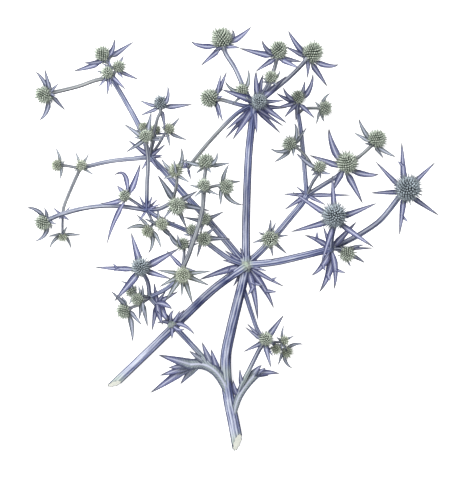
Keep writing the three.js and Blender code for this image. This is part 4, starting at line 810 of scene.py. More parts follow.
class Growth:
    """A mesh that stems and blades are added to, with the marks that their finish reads."""

    def __init__(self):
        self.mesh = bmesh.new()
        self.uv = self.mesh.loops.layers.uv.new("UVMap")
        layers = self.mesh.verts.layers.float
        self.marks = {name: layers.new(name) for name in MARKS}

    def roll(self, around, along, spot, long):
        """Rolls a grid up into a tube. spot gives a corner's place and its first marks from how
        far round and how far along it is."""
        made = bmesh.ops.create_grid(
            self.mesh, x_segments=around, y_segments=along, size=1, calc_uvs=True
        )["verts"]
        for face in {face for vert in made for face in vert.link_faces}:
            for loop in face.loops:
                loop[self.uv].uv.y *= long
        for vert in made:
            turn, step = (vert.co.x + 1) * math.pi, round((vert.co.y + 1) / 2 * along)
            vert.co, marks = spot(turn, step)
            vert.co.z = max(vert.co.z, TABLE_FILM)
            for mark, value in zip(self.marks.values(), marks):
                vert[mark] = value
        bmesh.ops.remove_doubles(self.mesh, verts=made, dist=1e-4)

    def stem(self, run, radii, ribs, green, rib_depth):
        """A ribbed stem along a run of points, closed at both ends."""
        frames = frames_along(run)
        radii = [0, *radii, 0]
        pales = [paleness(point) for point, side, out in frames]

        def spot(turn, step):
            point, side, out = frames[step]
            ridge = (1 + math.cos(turn * ribs)) / 2
            radius = radii[step] * (1 - rib_depth * (1 - ridge))
            away = side * math.cos(turn) + out * math.sin(turn)
            # painted light: paler on the side towards the key light, darker on the far side
            sunny = (away.dot(LIT_SIDE) - LIT_FROM) * min(radius / LIT_RADIUS, MOST_LIT)
            marks = ridge, green, pales[step], 0, max(away.z, 0), sunny
            return point + away * radius, marks

        self.roll(4 * ribs, len(frames) - 1, spot, length_of(run))

    def sheath(self, leaf):
        """A leaf's flat, ribbed sheath along the stem, closed at both ends."""
        run = through([place(spot) for spot in leaf.sheath], SHEATH_STEPS)
        frames = frames_along(run)
        last = len(frames) - 1

        def spot(turn, step):
            point, side, out = frames[step]
            if step in (0, last):
                return point, (0, 0, SHEATH_END_PALENESS)
            wide = mixed(*leaf.wide, (step - 1) / (last - 2)) / 2
            wide *= mixed(SHEATH_ROOT_SHARE, 1, eased(step, 0, SHEATH_OPENING))
            ridge = (1 + math.cos(turn * SHEATH_RIBS)) / 2
            wide *= 1 - SHEATH_RIB_DEPTH + SHEATH_RIB_DEPTH * ridge
            corner = point + side * (math.cos(turn) * wide)
            corner = corner + out * (math.sin(turn) * wide * SHEATH_FLATNESS)
            return corner, (0, SHEATH_GREEN, SHEATH_PALENESS)

        self.roll(SHEATH_SIDES, last, spot, length_of(run))

    def blade(self, run, up, wide, thick, root, green):
        """A pointed blade along a run of points: grooved above, keeled below, and turning its
        face to the sky on its way out."""
        forwards = directions(run)
        last = len(run) - 1
        pales = [BLADE_PALENESS * paleness(point) for point in run]
        sky = -SKYWARD if up.z < TABLEWARD else SKYWARD

        def spot(turn, step):
            along = step / last
            facing = mixed(up, sky, MOST_SKYWARD * eased(along, 0, SKYWARD_BY))
            side = facing.cross(forwards[step]).normalized()
            top = forwards[step].cross(side)
            if along < BRACT_FULLEST:
                full = mixed(root, 1, eased(along, 0, BRACT_FULLEST))
            else:
                full = ((1 - along) / (1 - BRACT_FULLEST)) ** BRACT_TAPER
            across, level = math.cos(turn), math.sin(turn)
            rise = BLADE_FOLD * wide * full * across**2 + 0.5 * thick * level * full**0.5
            middle = math.exp(-((across / MIDDLE_WIDTH) ** 2)) * full
            rise -= middle * thick * (GROOVE_DEPTH * level if level > 0 else -KEEL_DEPTH * level)
            corner = run[step] + side * (across * wide / 2 * full) + top * rise
            return corner, (0, green, pales[step], along)

        self.roll(BLADE_SIDES, last, spot, length_of(run))

    def bract(self, bract, green):
        """A bract and the spines on its edges."""
        run = bent(*bract.curve, BROAD_STEPS if bract.wide > BROAD_BRACT else NARROW_STEPS)
        self.blade(run, bract.up, bract.wide, BRACT_THICK, BRACT_ROOT_SHARE, green)
        for tooth in bract.teeth:
            self.tooth(bract, tooth, green)

    def tooth(self, bract, tooth, green):
        """A spine on the edge of a bract, sprung from its curve a little behind its own tip."""
        run = bent(*bract.curve, CURVE_STEPS)
        tip = place((*tooth, 0))
        near = min(range(len(run)), key=lambda i: (run[i].xy - tip.xy).length)
        root = run[max(FIRST_TOOTH, round(near - TOOTH_BACK))]
        tip.z = max(root.z + TOOTH_RISE, TABLE_REACH)
        run = bent(root, mixed(root, tip, 0.5), tip, TOOTH_STEPS)
        self.blade(run, SKYWARD, bract.wide * TOOTH_WIDTH_SHARE, BRACT_THICK, 1, green)

    def finished(self, name, *materials):
        """Turns the grown mesh into a piece that stands for the stem's node."""
        bmesh.ops.recalc_face_normals(self.mesh, faces=self.mesh.faces)
        data = bpy.data.meshes.new(name)
        self.mesh.to_mesh(data)
        self.mesh.free()
        data.transform(Matrix.Scale(METRES, 4))
        install(name, data, materials, ["stem"])


def install(name, data, materials, nodes):
    """Makes a smooth piece of a finished mesh, which stands for the given nodes."""
    data.shade_smooth()
    for material in materials:
        data.materials.append(material)
    piece = bpy.data.objects.new(name, data)
    bpy.context.scene.collection.objects.link(piece)
    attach(piece, "root")
    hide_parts(*nodes)


# ---- Finishes ----


def paint(red, green, blue):
    """A paint's colour from its 0 to 255 numbers on screen."""
    shares = [number / 255 for number in (red, green, blue)]
    return (*[s / 12.92 if s <= 0.04045 else ((s + 0.055) / 1.055) ** 2.4 for s in shares], 1.0)


class Reading:
    """A number that a material's nodes give, which Python's operators work on."""

    def __init__(self, finish, socket):
        self.finish = finish
        self.socket = socket

    def __add__(self, other):
        return self.finish.maths("ADD", self, other)

    __radd__ = __add__

    def __sub__(self, other):
        return self.finish.maths("SUBTRACT", self, other)

    def __rsub__(self, other):
        return self.finish.maths("SUBTRACT", other, self)

    def __mul__(self, other):
        return self.finish.maths("MULTIPLY", self, other)

    __rmul__ = __mul__


class Finish:
    """The nodes of one material."""

    def __init__(self, name, **constants):
        self.material = bpy.data.materials.new(name)
        self.material.use_nodes = True
        self.tree = self.material.node_tree
        self.shader = self.tree.nodes["Principled BSDF"]
        for socket, value in constants.items():
            self.shader.inputs[socket.replace("_", " ")].default_value = value

    def node(self, kind, settings, inputs, output=0):
        """Adds a node, with its settings first and then the values or links of its sockets."""
        made = self.tree.nodes.new(kind)
        for name, value in settings.items():
            if name == "stops":
                self.fill_ramp(made.color_ramp, value)
            else:
                setattr(made, name, value)
        for name, value in inputs.items():
            self.feed(made.inputs[name], value)
        return Reading(self, made.outputs[output])

    def fill_ramp(self, ramp, stops):
        while len(ramp.elements) < len(stops):
            ramp.elements.new(0.5)
        for element, (position, colour) in zip(ramp.elements, stops):
            element.position = position
            element.color = colour

    def feed(self, socket, value):
        if isinstance(value, Reading):
            self.tree.links.new(value.socket, socket)
        else:
            socket.default_value = value

    def maths(self, operation, *values):
        return self.node("ShaderNodeMath", {"operation": operation}, dict(enumerate(values)))

    def blend(self, mask, below, above):
        """One colour over another, where the mask says."""
        inputs = {0: mask, 6: below, 7: above}
        return self.node("ShaderNodeMix", {"data_type": "RGBA"}, inputs, 2)

    def ramp(self, value, *stops):
        return self.node("ShaderNodeValToRGB", {"stops": stops}, {"Fac": value})

    def mask(self, value, low, high):
        """0 below low, 1 above high, and smooth between them."""
        inputs = {"Value": value, "From Min": low, "From Max": high}
        return self.node("ShaderNodeMapRange", {"interpolation_type": "SMOOTHSTEP"}, inputs)

    def mark(self, name):
        return self.node("ShaderNodeAttribute", {"attribute_name": name}, {}, "Fac")

    def vector(self, x, y, z):
        return self.node("ShaderNodeCombineXYZ", {}, {"X": x, "Y": y, "Z": z})

    def noise(self, vector, scale, detail=2.0, rough=0.5):
        inputs = {"Vector": vector, "Scale": scale, "Detail": detail, "Roughness": rough}
        return self.node("ShaderNodeTexNoise", {}, inputs, "Fac")

    def place(self):
        return self.node("ShaderNodeTexCoord", {}, {}, "Object")

    def round_and_along(self):
        """How far round a rolled piece a point is, as an angle, and how far along."""
        uv = self.node("ShaderNodeUVMap", {"uv_map": "UVMap"}, {})
        along = self.node("ShaderNodeSeparateXYZ", {}, {"Vector": uv}, "Y")
        turn = self.node("ShaderNodeSeparateXYZ", {}, {"Vector": uv}, "X") * (2 * math.pi)
        return self.maths("COSINE", turn, 0.0), self.maths("SINE", turn, 0.0), along

    def done(self, colour, roughness=None, height=None, depth=0.0001):
        """Feeds the shader, with a bump of the given depth in metres."""
        self.feed(self.shader.inputs["Base Color"], colour)
        if roughness is not None:
            self.feed(self.shader.inputs["Roughness"], roughness)
        if height is not None:
            bump = self.node("ShaderNodeBump", {}, {"Distance": depth, "Height": height}, "Normal")
            self.feed(self.shader.inputs["Normal"], bump)
        return self.material


# ---- Settings ----


def colour(name, description, red, green, blue):
    return FloatVectorProperty(
        name=name, description=description, subtype="COLOR", size=4, min=0, max=1,
        default=paint(red, green, blue),
    )


def length(name, description, millimetres):
    return FloatProperty(
        name=name, description=description, unit="LENGTH", min=0,
        default=millimetres * METRES, precision=5,
    )


def share(name, description, default):
    return FloatProperty(
        name=name, description=description, subtype="FACTOR", min=0, max=1, default=default
    )


class StemSettings(bpy.types.PropertyGroup):
    """What the stems and stalks look like."""

    steps: IntProperty(name="Steps", description="Rings between two places of the plan",
                       min=2, max=16, default=7)
    rib_depth: share("Rib depth", "Depth of the furrows, over a stem's radius", 0.17)
    swelling: share("Swelling", "How much wider a stem is where it meets a fork", 0.16)
    ridge: colour("Ridges", "Colour of the pale ridges of a violet stem", 194, 199, 216)
    skin: colour("Skin", "Colour of a violet stem between ridge and furrow", 97, 107, 152)
    furrow: colour("Furrows", "Colour of the dark furrows of a violet stem", 34, 39, 74)
    # deep blue also carries painted shade near the crown and the forks
    deep: colour("Deep blue", "Colour of the stems where they are darkest", 30, 38, 90)
    green_ridge: colour("Green ridges", "Colour of the ridges of a young stalk", 176, 180, 178)
    green_furrow: colour("Green furrows", "Colour of the furrows of a young stalk", 50, 57, 66)
    fork: colour("Forks", "Pale green of the swollen forks", 178, 192, 176)
    pith: colour("Pith", "Cream of the freshly cut ends", 236, 238, 226)


class BractSettings(bpy.types.PropertyGroup):
    """What the bracts and leaves look like."""

    midrib: colour("Midrib", "Colour of a bract's pale middle", 196, 200, 220)
    skin: colour("Skin", "Violet of a bract's two halves", 119, 122, 167)
    edge: colour("Edge", "Colour of a bract's dark edges and veins", 51, 55, 97)
    green_skin: colour("Green skin", "Colour of a young bract", 146, 157, 151)
    green_edge: colour("Green edge", "Colour of a young bract's edges", 62, 72, 70)
    point: colour("Point", "Dark grey of a bract's dry point", 82, 84, 94)


class HeadSettings(bpy.types.PropertyGroup):
    """What the flower heads look like."""

    spacing: length("Spacing", "Distance between the florets of a small head", 1.08)
    blue: colour("Blue florets", "Colour of the buds of a blue-grey head", 188, 200, 208)
    green: colour("Green florets", "Colour of the buds of a grey-green head", 218, 228, 213)
    young: colour("Young florets", "Colour of the buds of a young head", 219, 227, 209)
    # the gap colours are painted shade where the florets meet
    gap: colour("Gaps", "Dark green between the florets", 83, 99, 88)
    young_gap: colour("Young gaps", "Green between the florets of a young head", 124, 136, 114)
    blue_gap: colour("Blue gaps", "Dark blue-green between the blue-grey florets", 50, 67, 76)


class StageSettings(bpy.types.PropertyGroup):
    """The floor, the light and the camera."""

    width: length("View", "Height of the picture, on the plane of the picture", 312.1)
    plane: length("Plane", "Height above the table that is in true scale", 24)
    lens: FloatProperty(name="Lens", description="Focal length", subtype="DISTANCE_CAMERA",
                        min=50, max=2000, default=600)
    key: FloatProperty(name="Key light", description="Power of the light above", unit="POWER",
                       min=0, default=35)
    fill: FloatProperty(name="Fill", description="Brightness of the room", min=0, default=0.46)


class SeaHollySettings(bpy.types.PropertyGroup):
    """All that can be set for the sea holly stem."""

    stems: PointerProperty(type=StemSettings)
    bracts: PointerProperty(type=BractSettings)
    heads: PointerProperty(type=HeadSettings)
    stage: PointerProperty(type=StageSettings)


# ---- Materials of the sea holly ----


def stem_skin(sizes):
    """Pale ridges and dark furrows, streaked and finely hatched; greener near a fork; a painted highlight
    on the side towards the key light, painted shade on the far side and where a stem faces away from the
    sky, and darker near the crown and the forks, partly with painted shade.
    """
    finish = Finish("stem_skin", Roughness=0.5, Specular_IOR_Level=0.35)
    cosine, sine, along = finish.round_and_along()
    wide = finish.vector(cosine, sine, along * 0.025)
    fine = finish.vector(cosine * 1.9, sine * 1.9, along * 0.04)
    streak = finish.noise(wide, 1.7, 1.0)
    grain = finish.noise(fine, 2.6, 3.0)
    patch = finish.noise(finish.place(), 90.0, 2.0)
    ridge = finish.mark("ridge")
    hatch = finish.maths("SINE", along * 3.4 + cosine * 5 + grain * 4, 0.0) * 0.5 + 0.5
    tone = ridge * 0.36 + streak * 0.7 + grain * 1.25 + patch * 0.3 + hatch * 0.03 - 0.87
    # painted highlight on the side towards the key light, painted shade on the far side
    tone = tone + finish.mark("sunny") * 0.34
    violet = finish.ramp(tone, (0.14, sizes.furrow), (0.46, sizes.skin), (0.9, sizes.ridge))
    green = finish.ramp(tone, (0.16, sizes.green_furrow), (0.92, sizes.green_ridge))
    skin = finish.blend(finish.mark("green"), violet, green)
    pale = finish.mark("pale")
    skin = finish.blend(finish.maths("MAXIMUM", pale, 0.0) * 0.85, skin, sizes.fork)
    # below 0 the pale mark darkens the stem towards deep blue: partly its own deeper blue, partly painted
    # shade near the crown and the forks
    deep = finish.ramp(tone, (0.42, sizes.deep), (0.74, sizes.skin), (1.0, sizes.ridge))
    skin = finish.blend(finish.maths("MAXIMUM", 0 - pale, 0.0), skin, deep)
    crease = finish.mask(ridge + grain * 0.5, 0.15, 0.6)
    skin = finish.blend((1 - crease) * 0.6, skin, sizes.furrow)
    # painted shade on a stem's sides and underside, where it faces away from the sky
    rim = 1 - finish.mask(finish.mark("sky") + grain * 0.2, 0.4, 0.85)
    skin = finish.blend(rim * 0.8, skin, sizes.furrow)
    return finish.done(skin, 0.42 + grain * 0.25, grain + ridge, 0.00012)


def fork_skin(sizes):
    """Pale green and cracked."""
    finish = Finish("fork_skin", Roughness=0.6, Specular_IOR_Level=0.3)
    where = finish.place()
    crack = finish.noise(where, 620.0, 2.0, 0.6)
    patch = finish.noise(where, 260.0, 1.0)
    cracks = finish.mask(finish.maths("ABSOLUTE", crack - 0.5, 0.0), 0.0, 0.035)
    pale = finish.mark("pale")
    violet = finish.ramp(crack, (0.3, sizes.furrow), (0.62, sizes.skin))
    fresh = finish.blend(finish.mask(patch, 0.4, 0.62), sizes.fork, sizes.green_ridge)
    fresh = finish.blend((1 - cracks) * 0.85, fresh, sizes.green_furrow)
    skin = finish.blend(finish.maths("MAXIMUM", pale, 0.0), violet, fresh)
    return finish.done(skin, 0.5 + patch * 0.2, cracks + crack, 0.00015)


def pith(sizes):
    """The wet cream of a cut end, with its rays."""
    finish = Finish("pith", Roughness=0.55, Specular_IOR_Level=0.4)
    where = finish.place()
    grain = finish.noise(where, 1500.0, 2.0)
    patch = finish.noise(where, 300.0, 1.0)
    skin = finish.blend(finish.mask(grain, 0.4, 0.75) * 0.35, sizes.pith, sizes.green_ridge)
    return finish.done(skin, 0.5 + patch * 0.2, grain, 0.0001)


def bract_skin(name, sizes, fork, contrast=1.0):
    """A pale midrib between two veined halves, with dark edges and a dry point, darker near the crown and
    the forks: partly deeper blue, partly painted shade.
    """
    finish = Finish(name, Roughness=0.5, Specular_IOR_Level=0.35)
    cosine, sine, along = finish.round_and_along()
    out = finish.maths("ABSOLUTE", cosine, 0.0)
    where = finish.place()
    grain = finish.noise(finish.vector(cosine * 6, sine, along * 0.35), 2.2, 3.0)
    patch = finish.noise(where, 130.0, 2.0)
    vein = finish.maths("SINE", along * 3.3 - out * 9 + grain * 7, 0.0) * 0.5 + 0.5
    middle = 1 - finish.mask(out, 0.05, 0.32)
    margin = finish.mask(out + grain * 0.25, 0.62, 0.92)
    dark = finish.mask(grain * 0.95 + patch * 0.5 + vein * 0.3, 0.6, 1.2)
    green = finish.mark("green")
    pale = finish.mark("pale")
    skin = finish.blend(green, sizes.skin, sizes.green_skin)
    skin = finish.blend(finish.maths("MAXIMUM", pale, 0.0), skin, fork)
    edge = finish.blend(green, sizes.edge, sizes.green_edge)
    skin = finish.blend(dark * (0.75 * contrast), skin, edge)
    skin = finish.blend(middle * 0.85, skin, sizes.midrib)
    # painted shade near the crown and the forks, with the stems' deeper blue, darkens the bracts too
    skin = finish.blend(finish.maths("MAXIMUM", 0 - pale, 0.0) * 0.4, skin, sizes.edge)
    skin = finish.blend(margin * (0.9 * contrast), skin, edge)
    dry = finish.mask(finish.mark("tip") + patch * 0.2, 0.82, 1.06)
    skin = finish.blend(dry, skin, sizes.point)
    return finish.done(skin, 0.42 + grain * 0.25, vein * 0.5 + grain, 0.00008)


def shaded(tint, light):
    """A darker shade of a colour, with so much of its light left."""
    return (*[channel * light for channel in tint[:3]], 1.0)


def floret_skin(name, bud, gap):
    """Pale buds with painted shade at their feet and where they meet, and grey points between them."""
    finish = Finish(name, Roughness=0.6, Specular_IOR_Level=0.3)
    where = finish.place()
    patch = finish.noise(where, 330.0, 1.0)
    grain = finish.noise(where, 1400.0, 2.0)
    height = finish.mark("height") + (patch - 0.5) * 0.35
    # painted shade: the gap colour where the buds meet and a shaded copy of the bud colour at their feet
    skin = finish.ramp(
        height, (0.3, gap), (0.48, shaded(bud, 0.45)), (0.7, bud), (0.86, bud),
        (1.0, shaded(bud, 0.62)),
    )
    point = finish.ramp(height, (0.3, gap), (0.7, shaded(bud, 0.45)), (1.0, shaded(bud, 0.26)))
    skin = finish.blend(finish.mark("point"), skin, point)
    return finish.done(skin, 0.5 + grain * 0.25, grain, 0.00006)


# ---- Pieces ----


class SEAHOLLY_OT_stems(bpy.types.Operator):
    """Grow the branching stems, cut across at their two ends"""

    bl_idname = "sea_holly.stems"
    bl_label = "Stems"

    def execute(self, context):
        sizes = context.scene.sea_holly.stems
        growth = Growth()
        for branch in BRANCHES:
            run = through([place(spot) for spot in branch.path], sizes.steps)
            last = len(run) - 1
            radii = [
                mixed(*branch.thick, i / last) / 2 * (1 + sizes.swelling * swelling(point))
                for i, point in enumerate(run)
            ]
            ribs = FEWEST_RIBS + round(max(branch.thick) * RIBS_BY_THICKNESS)
            before = set(growth.mesh.verts)
            growth.stem(run, radii, ribs, branch.green, sizes.rib_depth)
            if branch.cut:
                self.cut(growth, set(growth.mesh.verts) - before, branch.cut)
        growth.finished("stems", stem_skin(sizes), pith(sizes))
        return {"FINISHED"}

    def cut(self, growth, verts, cut):
        """Cuts a stem across on a slant, and fills the end with its ring of rind and its pith."""
        edges = {edge for vert in verts for edge in vert.link_edges}
        faces = {face for vert in verts for face in vert.link_faces}
        made = bmesh.ops.bisect_plane(
            growth.mesh, geom=[*verts, *edges, *faces], dist=1e-5, clear_outer=True,
            plane_co=place(cut.at), plane_no=pointing(cut),
        )
        rim = [item for item in made["geom_cut"] if isinstance(item, bmesh.types.BMEdge)]
        end = bmesh.ops.contextual_create(growth.mesh, geom=rim)["faces"]
        bmesh.ops.inset_region(growth.mesh, faces=end, thickness=RIND, depth=0)
        middle = bmesh.ops.poke(growth.mesh, faces=end, offset=-PITH_DEPTH)
        for face in middle["faces"]:
            face.material_index = 1


class SEAHOLLY_OT_stalks(bpy.types.Operator):
    """Grow the stalks of the flower heads, each widening into the disc under its head"""

    bl_idname = "sea_holly.stalks"
    bl_label = "Stalks"

    def execute(self, context):
        sizes = context.scene.sea_holly.stems
        growth = Growth()
        for head in HEADS:
            axis, base = pointing(head), base_of(head)
            neck = base - axis * (NECK_SHARE * head.long)
            points = [*[place(spot) for spot in head.stalk], neck, base]
            steps = LONG_STALK_STEPS if len(points) > LONG_STALK_PLACES else STALK_STEPS
            run = through(points, steps)
            thin, disc = head.thick / 2, head.wide * RECEPTACLE_SHARE
            radii = []
            for i, point in enumerate(run):
                widening = eased(i - len(run) + 1 + steps, 0, steps) ** 2
                radii.append(mixed(thin * (1 + sizes.swelling * swelling(point)), disc, widening))
            run.append(base + axis * SEAT_GAP * STALK_OVERRUN)
            radii.append(disc * OVERRUN_WIDTH)
            growth.stem(run, radii, FEWEST_RIBS, head.green[1], sizes.rib_depth)
        growth.finished("stalks", stem_skin(sizes))
        return {"FINISHED"}


class SEAHOLLY_OT_forks(bpy.types.Operator):
    """Swell the forks where stems meet"""

    bl_idname = "sea_holly.forks"
    bl_label = "Forks"

    def execute(self, context):
        growth = Growth()
        for fork in FORKS:
            middle = place(fork.at)
            knob = bmesh.ops.create_icosphere(growth.mesh, subdivisions=3, radius=1)["verts"]
            for vert in knob:
                bumps = 1 + BUMP_HEIGHT * noise.noise(vert.co * BUMP_SCALE + middle)
                vert.co = middle + vert.co * KNOB_SHAPE * (0.5 * fork.thick * bumps)
                vert[growth.marks["pale"]] = fork.pale
        growth.finished("forks", fork_skin(context.scene.sea_holly.stems))
        return {"FINISHED"}


class SEAHOLLY_OT_bracts(bpy.types.Operator):
    """Grow the ring of spiny bracts under each flower head, and the whorls at the forks"""

    bl_idname = "sea_holly.bracts"
    bl_label = "Bracts"

    def execute(self, context):
        settings = context.scene.sea_holly
        growth = Growth()
        for head in HEADS:
            hub = head.wide * HUB_SHARE
            for bract in ring_of_bracts(base_of(head), pointing(head), head.tips, hub, head):
                growth.bract(bract, head.green[0])
        growth.finished("bracts", bract_skin("bract_skin", settings.bracts, settings.stems.fork))
        growth = Growth()
        for whorl in WHORLS:
            for bract in ring_of_bracts(place(whorl.at), SKYWARD, whorl.tips, whorl.hub):
                growth.bract(bract, WHORL_GREEN)
        growth.finished("whorls", bract_skin("whorl_skin", settings.bracts, settings.stems.fork))
        return {"FINISHED"}


class SEAHOLLY_OT_leaves(bpy.types.Operator):
    """Grow the two stem leaves: a clasping sheath that ends in spiny lobes"""

    bl_idname = "sea_holly.leaves"
    bl_label = "Leaves"

    def execute(self, context):
        settings = context.scene.sea_holly
        growth = Growth()
        for leaf in LEAVES:
            growth.sheath(leaf)
            for lobe in leaf.lobes:
                start = place(lobe.root or leaf.sheath[-1])
                run = bent(start, place(lobe.via), place(lobe.to), LOBE_STEPS)
                root = 1.0 if lobe.root else LOBE_ROOT_SHARE
                growth.blade(run, SKYWARD, lobe.wide, BRACT_THICK * LOBE_THICK, root, LOBE_GREEN)
        skin = bract_skin("leaf_skin", settings.bracts, settings.stems.fork, LEAF_CONTRAST)
        growth.finished("leaves", skin)
        return {"FINISHED"}


class SEAHOLLY_OT_heads(bpy.types.Operator):
    """Grow the flower heads: a core, dark with painted shade, under a spiral of florets, each with its
    point
    """

    bl_idname = "sea_holly.heads"
    bl_label = "Flower heads"

    def execute(self, context):
        sizes = context.scene.sea_holly.heads
        skins = {
            "blue": floret_skin("florets_blue", sizes.blue, sizes.blue_gap),
            "green": floret_skin("florets_green", sizes.green, sizes.gap),
            "young": floret_skin("florets_young", sizes.young, sizes.young_gap),
        }
        for number, head in enumerate(HEADS):
            skin = skins[head.shade or head.tone]
            self.head(head, skin, sizes.spacing / METRES, random.Random(SEED + number))
        return {"FINISHED"}

    def floret(self, spine_over_bud):
        """One pointed bud, 1 high, and the long thin spine beside it."""
        made = bmesh.new()
        height = made.verts.layers.float.new("height")
        point = made.verts.layers.float.new("point")
        bud = bmesh.ops.create_uvsphere(made, u_segments=6, v_segments=5, radius=0.5)["verts"]
        for vert in bud:
            up = vert.co.z + 0.5
            vert[height] = up
            vert.co.xy *= BUD_WIDTH * (1 - BUD_TAPER * up)
            vert.co.z = up
        spine = bmesh.ops.create_cone(
            made, cap_ends=True, segments=3, radius1=SPINE_FOOT, radius2=SPINE_END, depth=1.0,
            matrix=Matrix.Translation((0, 0, 0.5)),
        )["verts"]
        for vert in spine:
            vert[height] = vert.co.z
            vert[point] = 1
            vert.co.x -= SPINE_ASIDE + SPINE_LEAN * vert.co.z
            vert.co.z *= spine_over_bud
        data = bpy.data.meshes.new("floret")
        made.to_mesh(data)
        made.free()
        return data

    def head(self, head, skin, spacing, chance):
        """Sets a head's florets in a spiral on its core, and turns it to where it points."""
        made = bmesh.new()
        wide, long = head.wide * CORE_SHARE / 2, head.long * CORE_SHARE / 2
        core = Vector((wide, wide, long)) * FLORET_ROOT
        ball = bmesh.ops.create_uvsphere(made, u_segments=20, v_segments=12, radius=1)["verts"]
        for vert in ball:
            vert.co *= core
            vert.co.z *= head.crest if vert.co.z > 0 else 1
        spacing *= LEAST_SPACING + SPACING_BY_WIDTH * head.wide
        radius = (wide * wide * long) ** (1 / 3) * FLORET_LEVEL
        area = 4 * math.pi * radius**2 * (1 - LOWEST_FLORET) / 2
        count = round(area / (FLORET_ROOM * spacing**2))
        tall = wide * (BUD_REACH - FLORET_ROOT) + BUD_OVER_CORE
        floret = self.floret((wide * (POINT_REACH - FLORET_ROOT) + SPINE_OVER_CORE) / tall)
        for i in range(count):
            up = 1 - (i + 0.5) / count * (1 - LOWEST_FLORET)
            turn = i * math.pi * (3 - math.sqrt(5))
            out = math.sqrt(1 - up * up)
            level = Vector((out * math.cos(turn), out * math.sin(turn), up))
            foot = level * core
            foot.z *= head.crest if up > 0 else 1
            normal = Vector((level.x / wide, level.y / wide, level.z / long)).normalized()
            normal.z *= 1 if up > 0 else LOWER_SPLAY
            lean = (normal + SKYWARD * FLORET_LIFT * out * (1 + min(up, 0))).normalized()
            toward = SKYWARD - lean * lean.z
            toward = toward.normalized() if toward.length > 0.01 else Vector((1, 0, 0))
            size = chance.uniform(*FLORET_SIZES)
            rotation = Matrix((toward, lean.cross(toward), lean)).transposed()
            twist = chance.uniform(-FLORET_TWIST, FLORET_TWIST)
            rotation = rotation @ Matrix.Rotation(twist, 3, "Z")
            stretch = Matrix.Diagonal((spacing * size, spacing * size, tall * size))
            bud = floret.copy()
            bud.transform(Matrix.Translation(foot) @ (rotation @ stretch).to_4x4())
            made.from_mesh(bud)
            bpy.data.meshes.remove(bud)
        bpy.data.meshes.remove(floret)
        name = f"florets_{head.name}"
        data = bpy.data.meshes.new(name)
        bmesh.ops.recalc_face_normals(made, faces=made.faces)
        made.to_mesh(data)
        made.free()
        spin = Matrix.Rotation(chance.uniform(0, 2 * math.pi), 4, "Z")
        seat = pointing(head).to_track_quat("Z", "Y").to_matrix().to_4x4()
        data.transform(Matrix.Scale(METRES, 4) @ Matrix.Translation(place(head.at)) @ seat @ spin)
        for vert in data.vertices:
            vert.co.z = max(vert.co.z, TABLE_FILM * METRES)
            vert.co.y = min(vert.co.y, PLAIN_BOX[1][1])
        install(name, data, [skin], [f"head_{head.name}"])


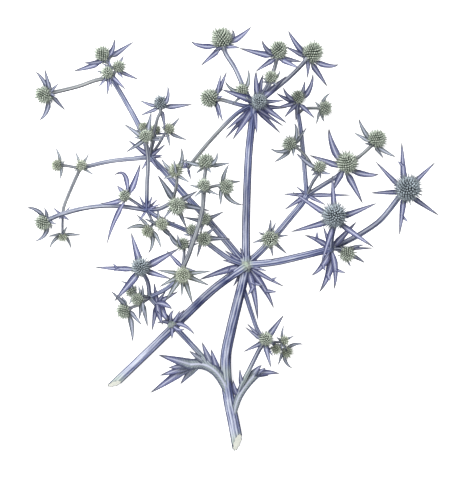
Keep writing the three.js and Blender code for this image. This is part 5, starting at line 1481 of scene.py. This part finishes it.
class SEAHOLLY_OT_stage(bpy.types.Operator):
    """Set out the floor, the soft light and the camera above"""

    bl_idname = "sea_holly.stage"
    bl_label = "Floor, light and camera"

    def execute(self, context):
        sizes = context.scene.sea_holly.stage
        self.floor()
        self.light("key", KEY_PLACE, KEY_SIZE, sizes.key)
        self.light("fill", FILL_PLACE, FILL_SIZE, sizes.key * FILL_SHARE)
        world = bpy.data.worlds.new("room")
        world.use_nodes = True
        background = world.node_tree.nodes["Background"]
        background.inputs["Color"].default_value = (1, 1, 1, 1)
        background.inputs["Strength"].default_value = sizes.fill
        context.scene.world = world
        context.scene.view_settings.view_transform = "Standard"
        camera = bpy.data.cameras.new("camera")
        camera.lens = sizes.lens
        camera.clip_end = CAMERA_REACH
        seat = bpy.data.objects.new("camera", camera)
        distance = sizes.width * camera.lens / camera.sensor_width
        middle = place((*PICTURE_MIDDLE, 0)) * METRES
        seat.location = middle + Vector((0, 0, sizes.plane + distance))
        context.scene.collection.objects.link(seat)
        context.scene.camera = seat
        return {"FINISHED"}

    def floor(self):
        """A sheet of paper that lies under everything and glows a little."""
        made = bmesh.new()
        bmesh.ops.create_grid(made, x_segments=1, y_segments=1, size=FLOOR_REACH)
        data = bpy.data.meshes.new("floor")
        made.to_mesh(data)
        made.free()
        glow = {"Emission_Color": (1, 1, 1, 1), "Emission_Strength": FLOOR_GLOW}
        finish = Finish("paper", Roughness=0.9, Specular_IOR_Level=0.1, **glow)
        grain = finish.noise(finish.place(), 900.0, 2.0)
        white = finish.blend(grain, paint(250, 250, 249), paint(252, 252, 251))
        data.materials.append(finish.done(white))
        floor = bpy.data.objects.new("floor", data)
        bpy.context.scene.collection.objects.link(floor)

    def light(self, name, at, size, power):
        """A soft round light that shines on the middle of the table."""
        lamp = bpy.data.lights.new(name, "AREA")
        lamp.shape = "DISK"
        lamp.size = size
        lamp.energy = power
        holder = bpy.data.objects.new(name, lamp)
        holder.location = at
        holder.rotation_euler = Vector(at).to_track_quat("Z", "Y").to_euler()
        bpy.context.scene.collection.objects.link(holder)


class SEAHOLLY_PT_panel(bpy.types.Panel):
    """The steps that grow a sea holly stem"""

    bl_idname = "SEAHOLLY_PT_panel"
    bl_label = "Sea holly stem"
    bl_space_type = "VIEW_3D"
    bl_region_type = "UI"
    bl_category = "Sea holly"

    def draw(self, context):
        for step in STEPS:
            self.layout.operator(step.bl_idname)
        for name in ("stems", "bracts", "heads", "stage"):
            box = self.layout.box()
            settings = getattr(context.scene.sea_holly, name)
            for setting in settings.bl_rna.properties.keys():
                if setting not in ("rna_type", "name"):
                    box.prop(settings, setting)


STEPS = (
    SEAHOLLY_OT_stage, SEAHOLLY_OT_stems, SEAHOLLY_OT_stalks, SEAHOLLY_OT_forks,
    SEAHOLLY_OT_bracts, SEAHOLLY_OT_leaves, SEAHOLLY_OT_heads,
)
CLASSES = (
    StemSettings, BractSettings, HeadSettings, StageSettings, SeaHollySettings, *STEPS,
    SEAHOLLY_PT_panel,
)


def register():
    for item in CLASSES:
        bpy.utils.register_class(item)
    bpy.types.Scene.sea_holly = PointerProperty(type=SeaHollySettings)


def unregister():
    del bpy.types.Scene.sea_holly
    for item in reversed(CLASSES):
        bpy.utils.unregister_class(item)


def main():
    register()
    bpy.ops.sea_holly.stage()
    bpy.ops.sea_holly.stems()
    bpy.ops.sea_holly.stalks()
    bpy.ops.sea_holly.forks()
    bpy.ops.sea_holly.bracts()
    bpy.ops.sea_holly.leaves()
    bpy.ops.sea_holly.heads()


if __name__ == "__main__":
    main()
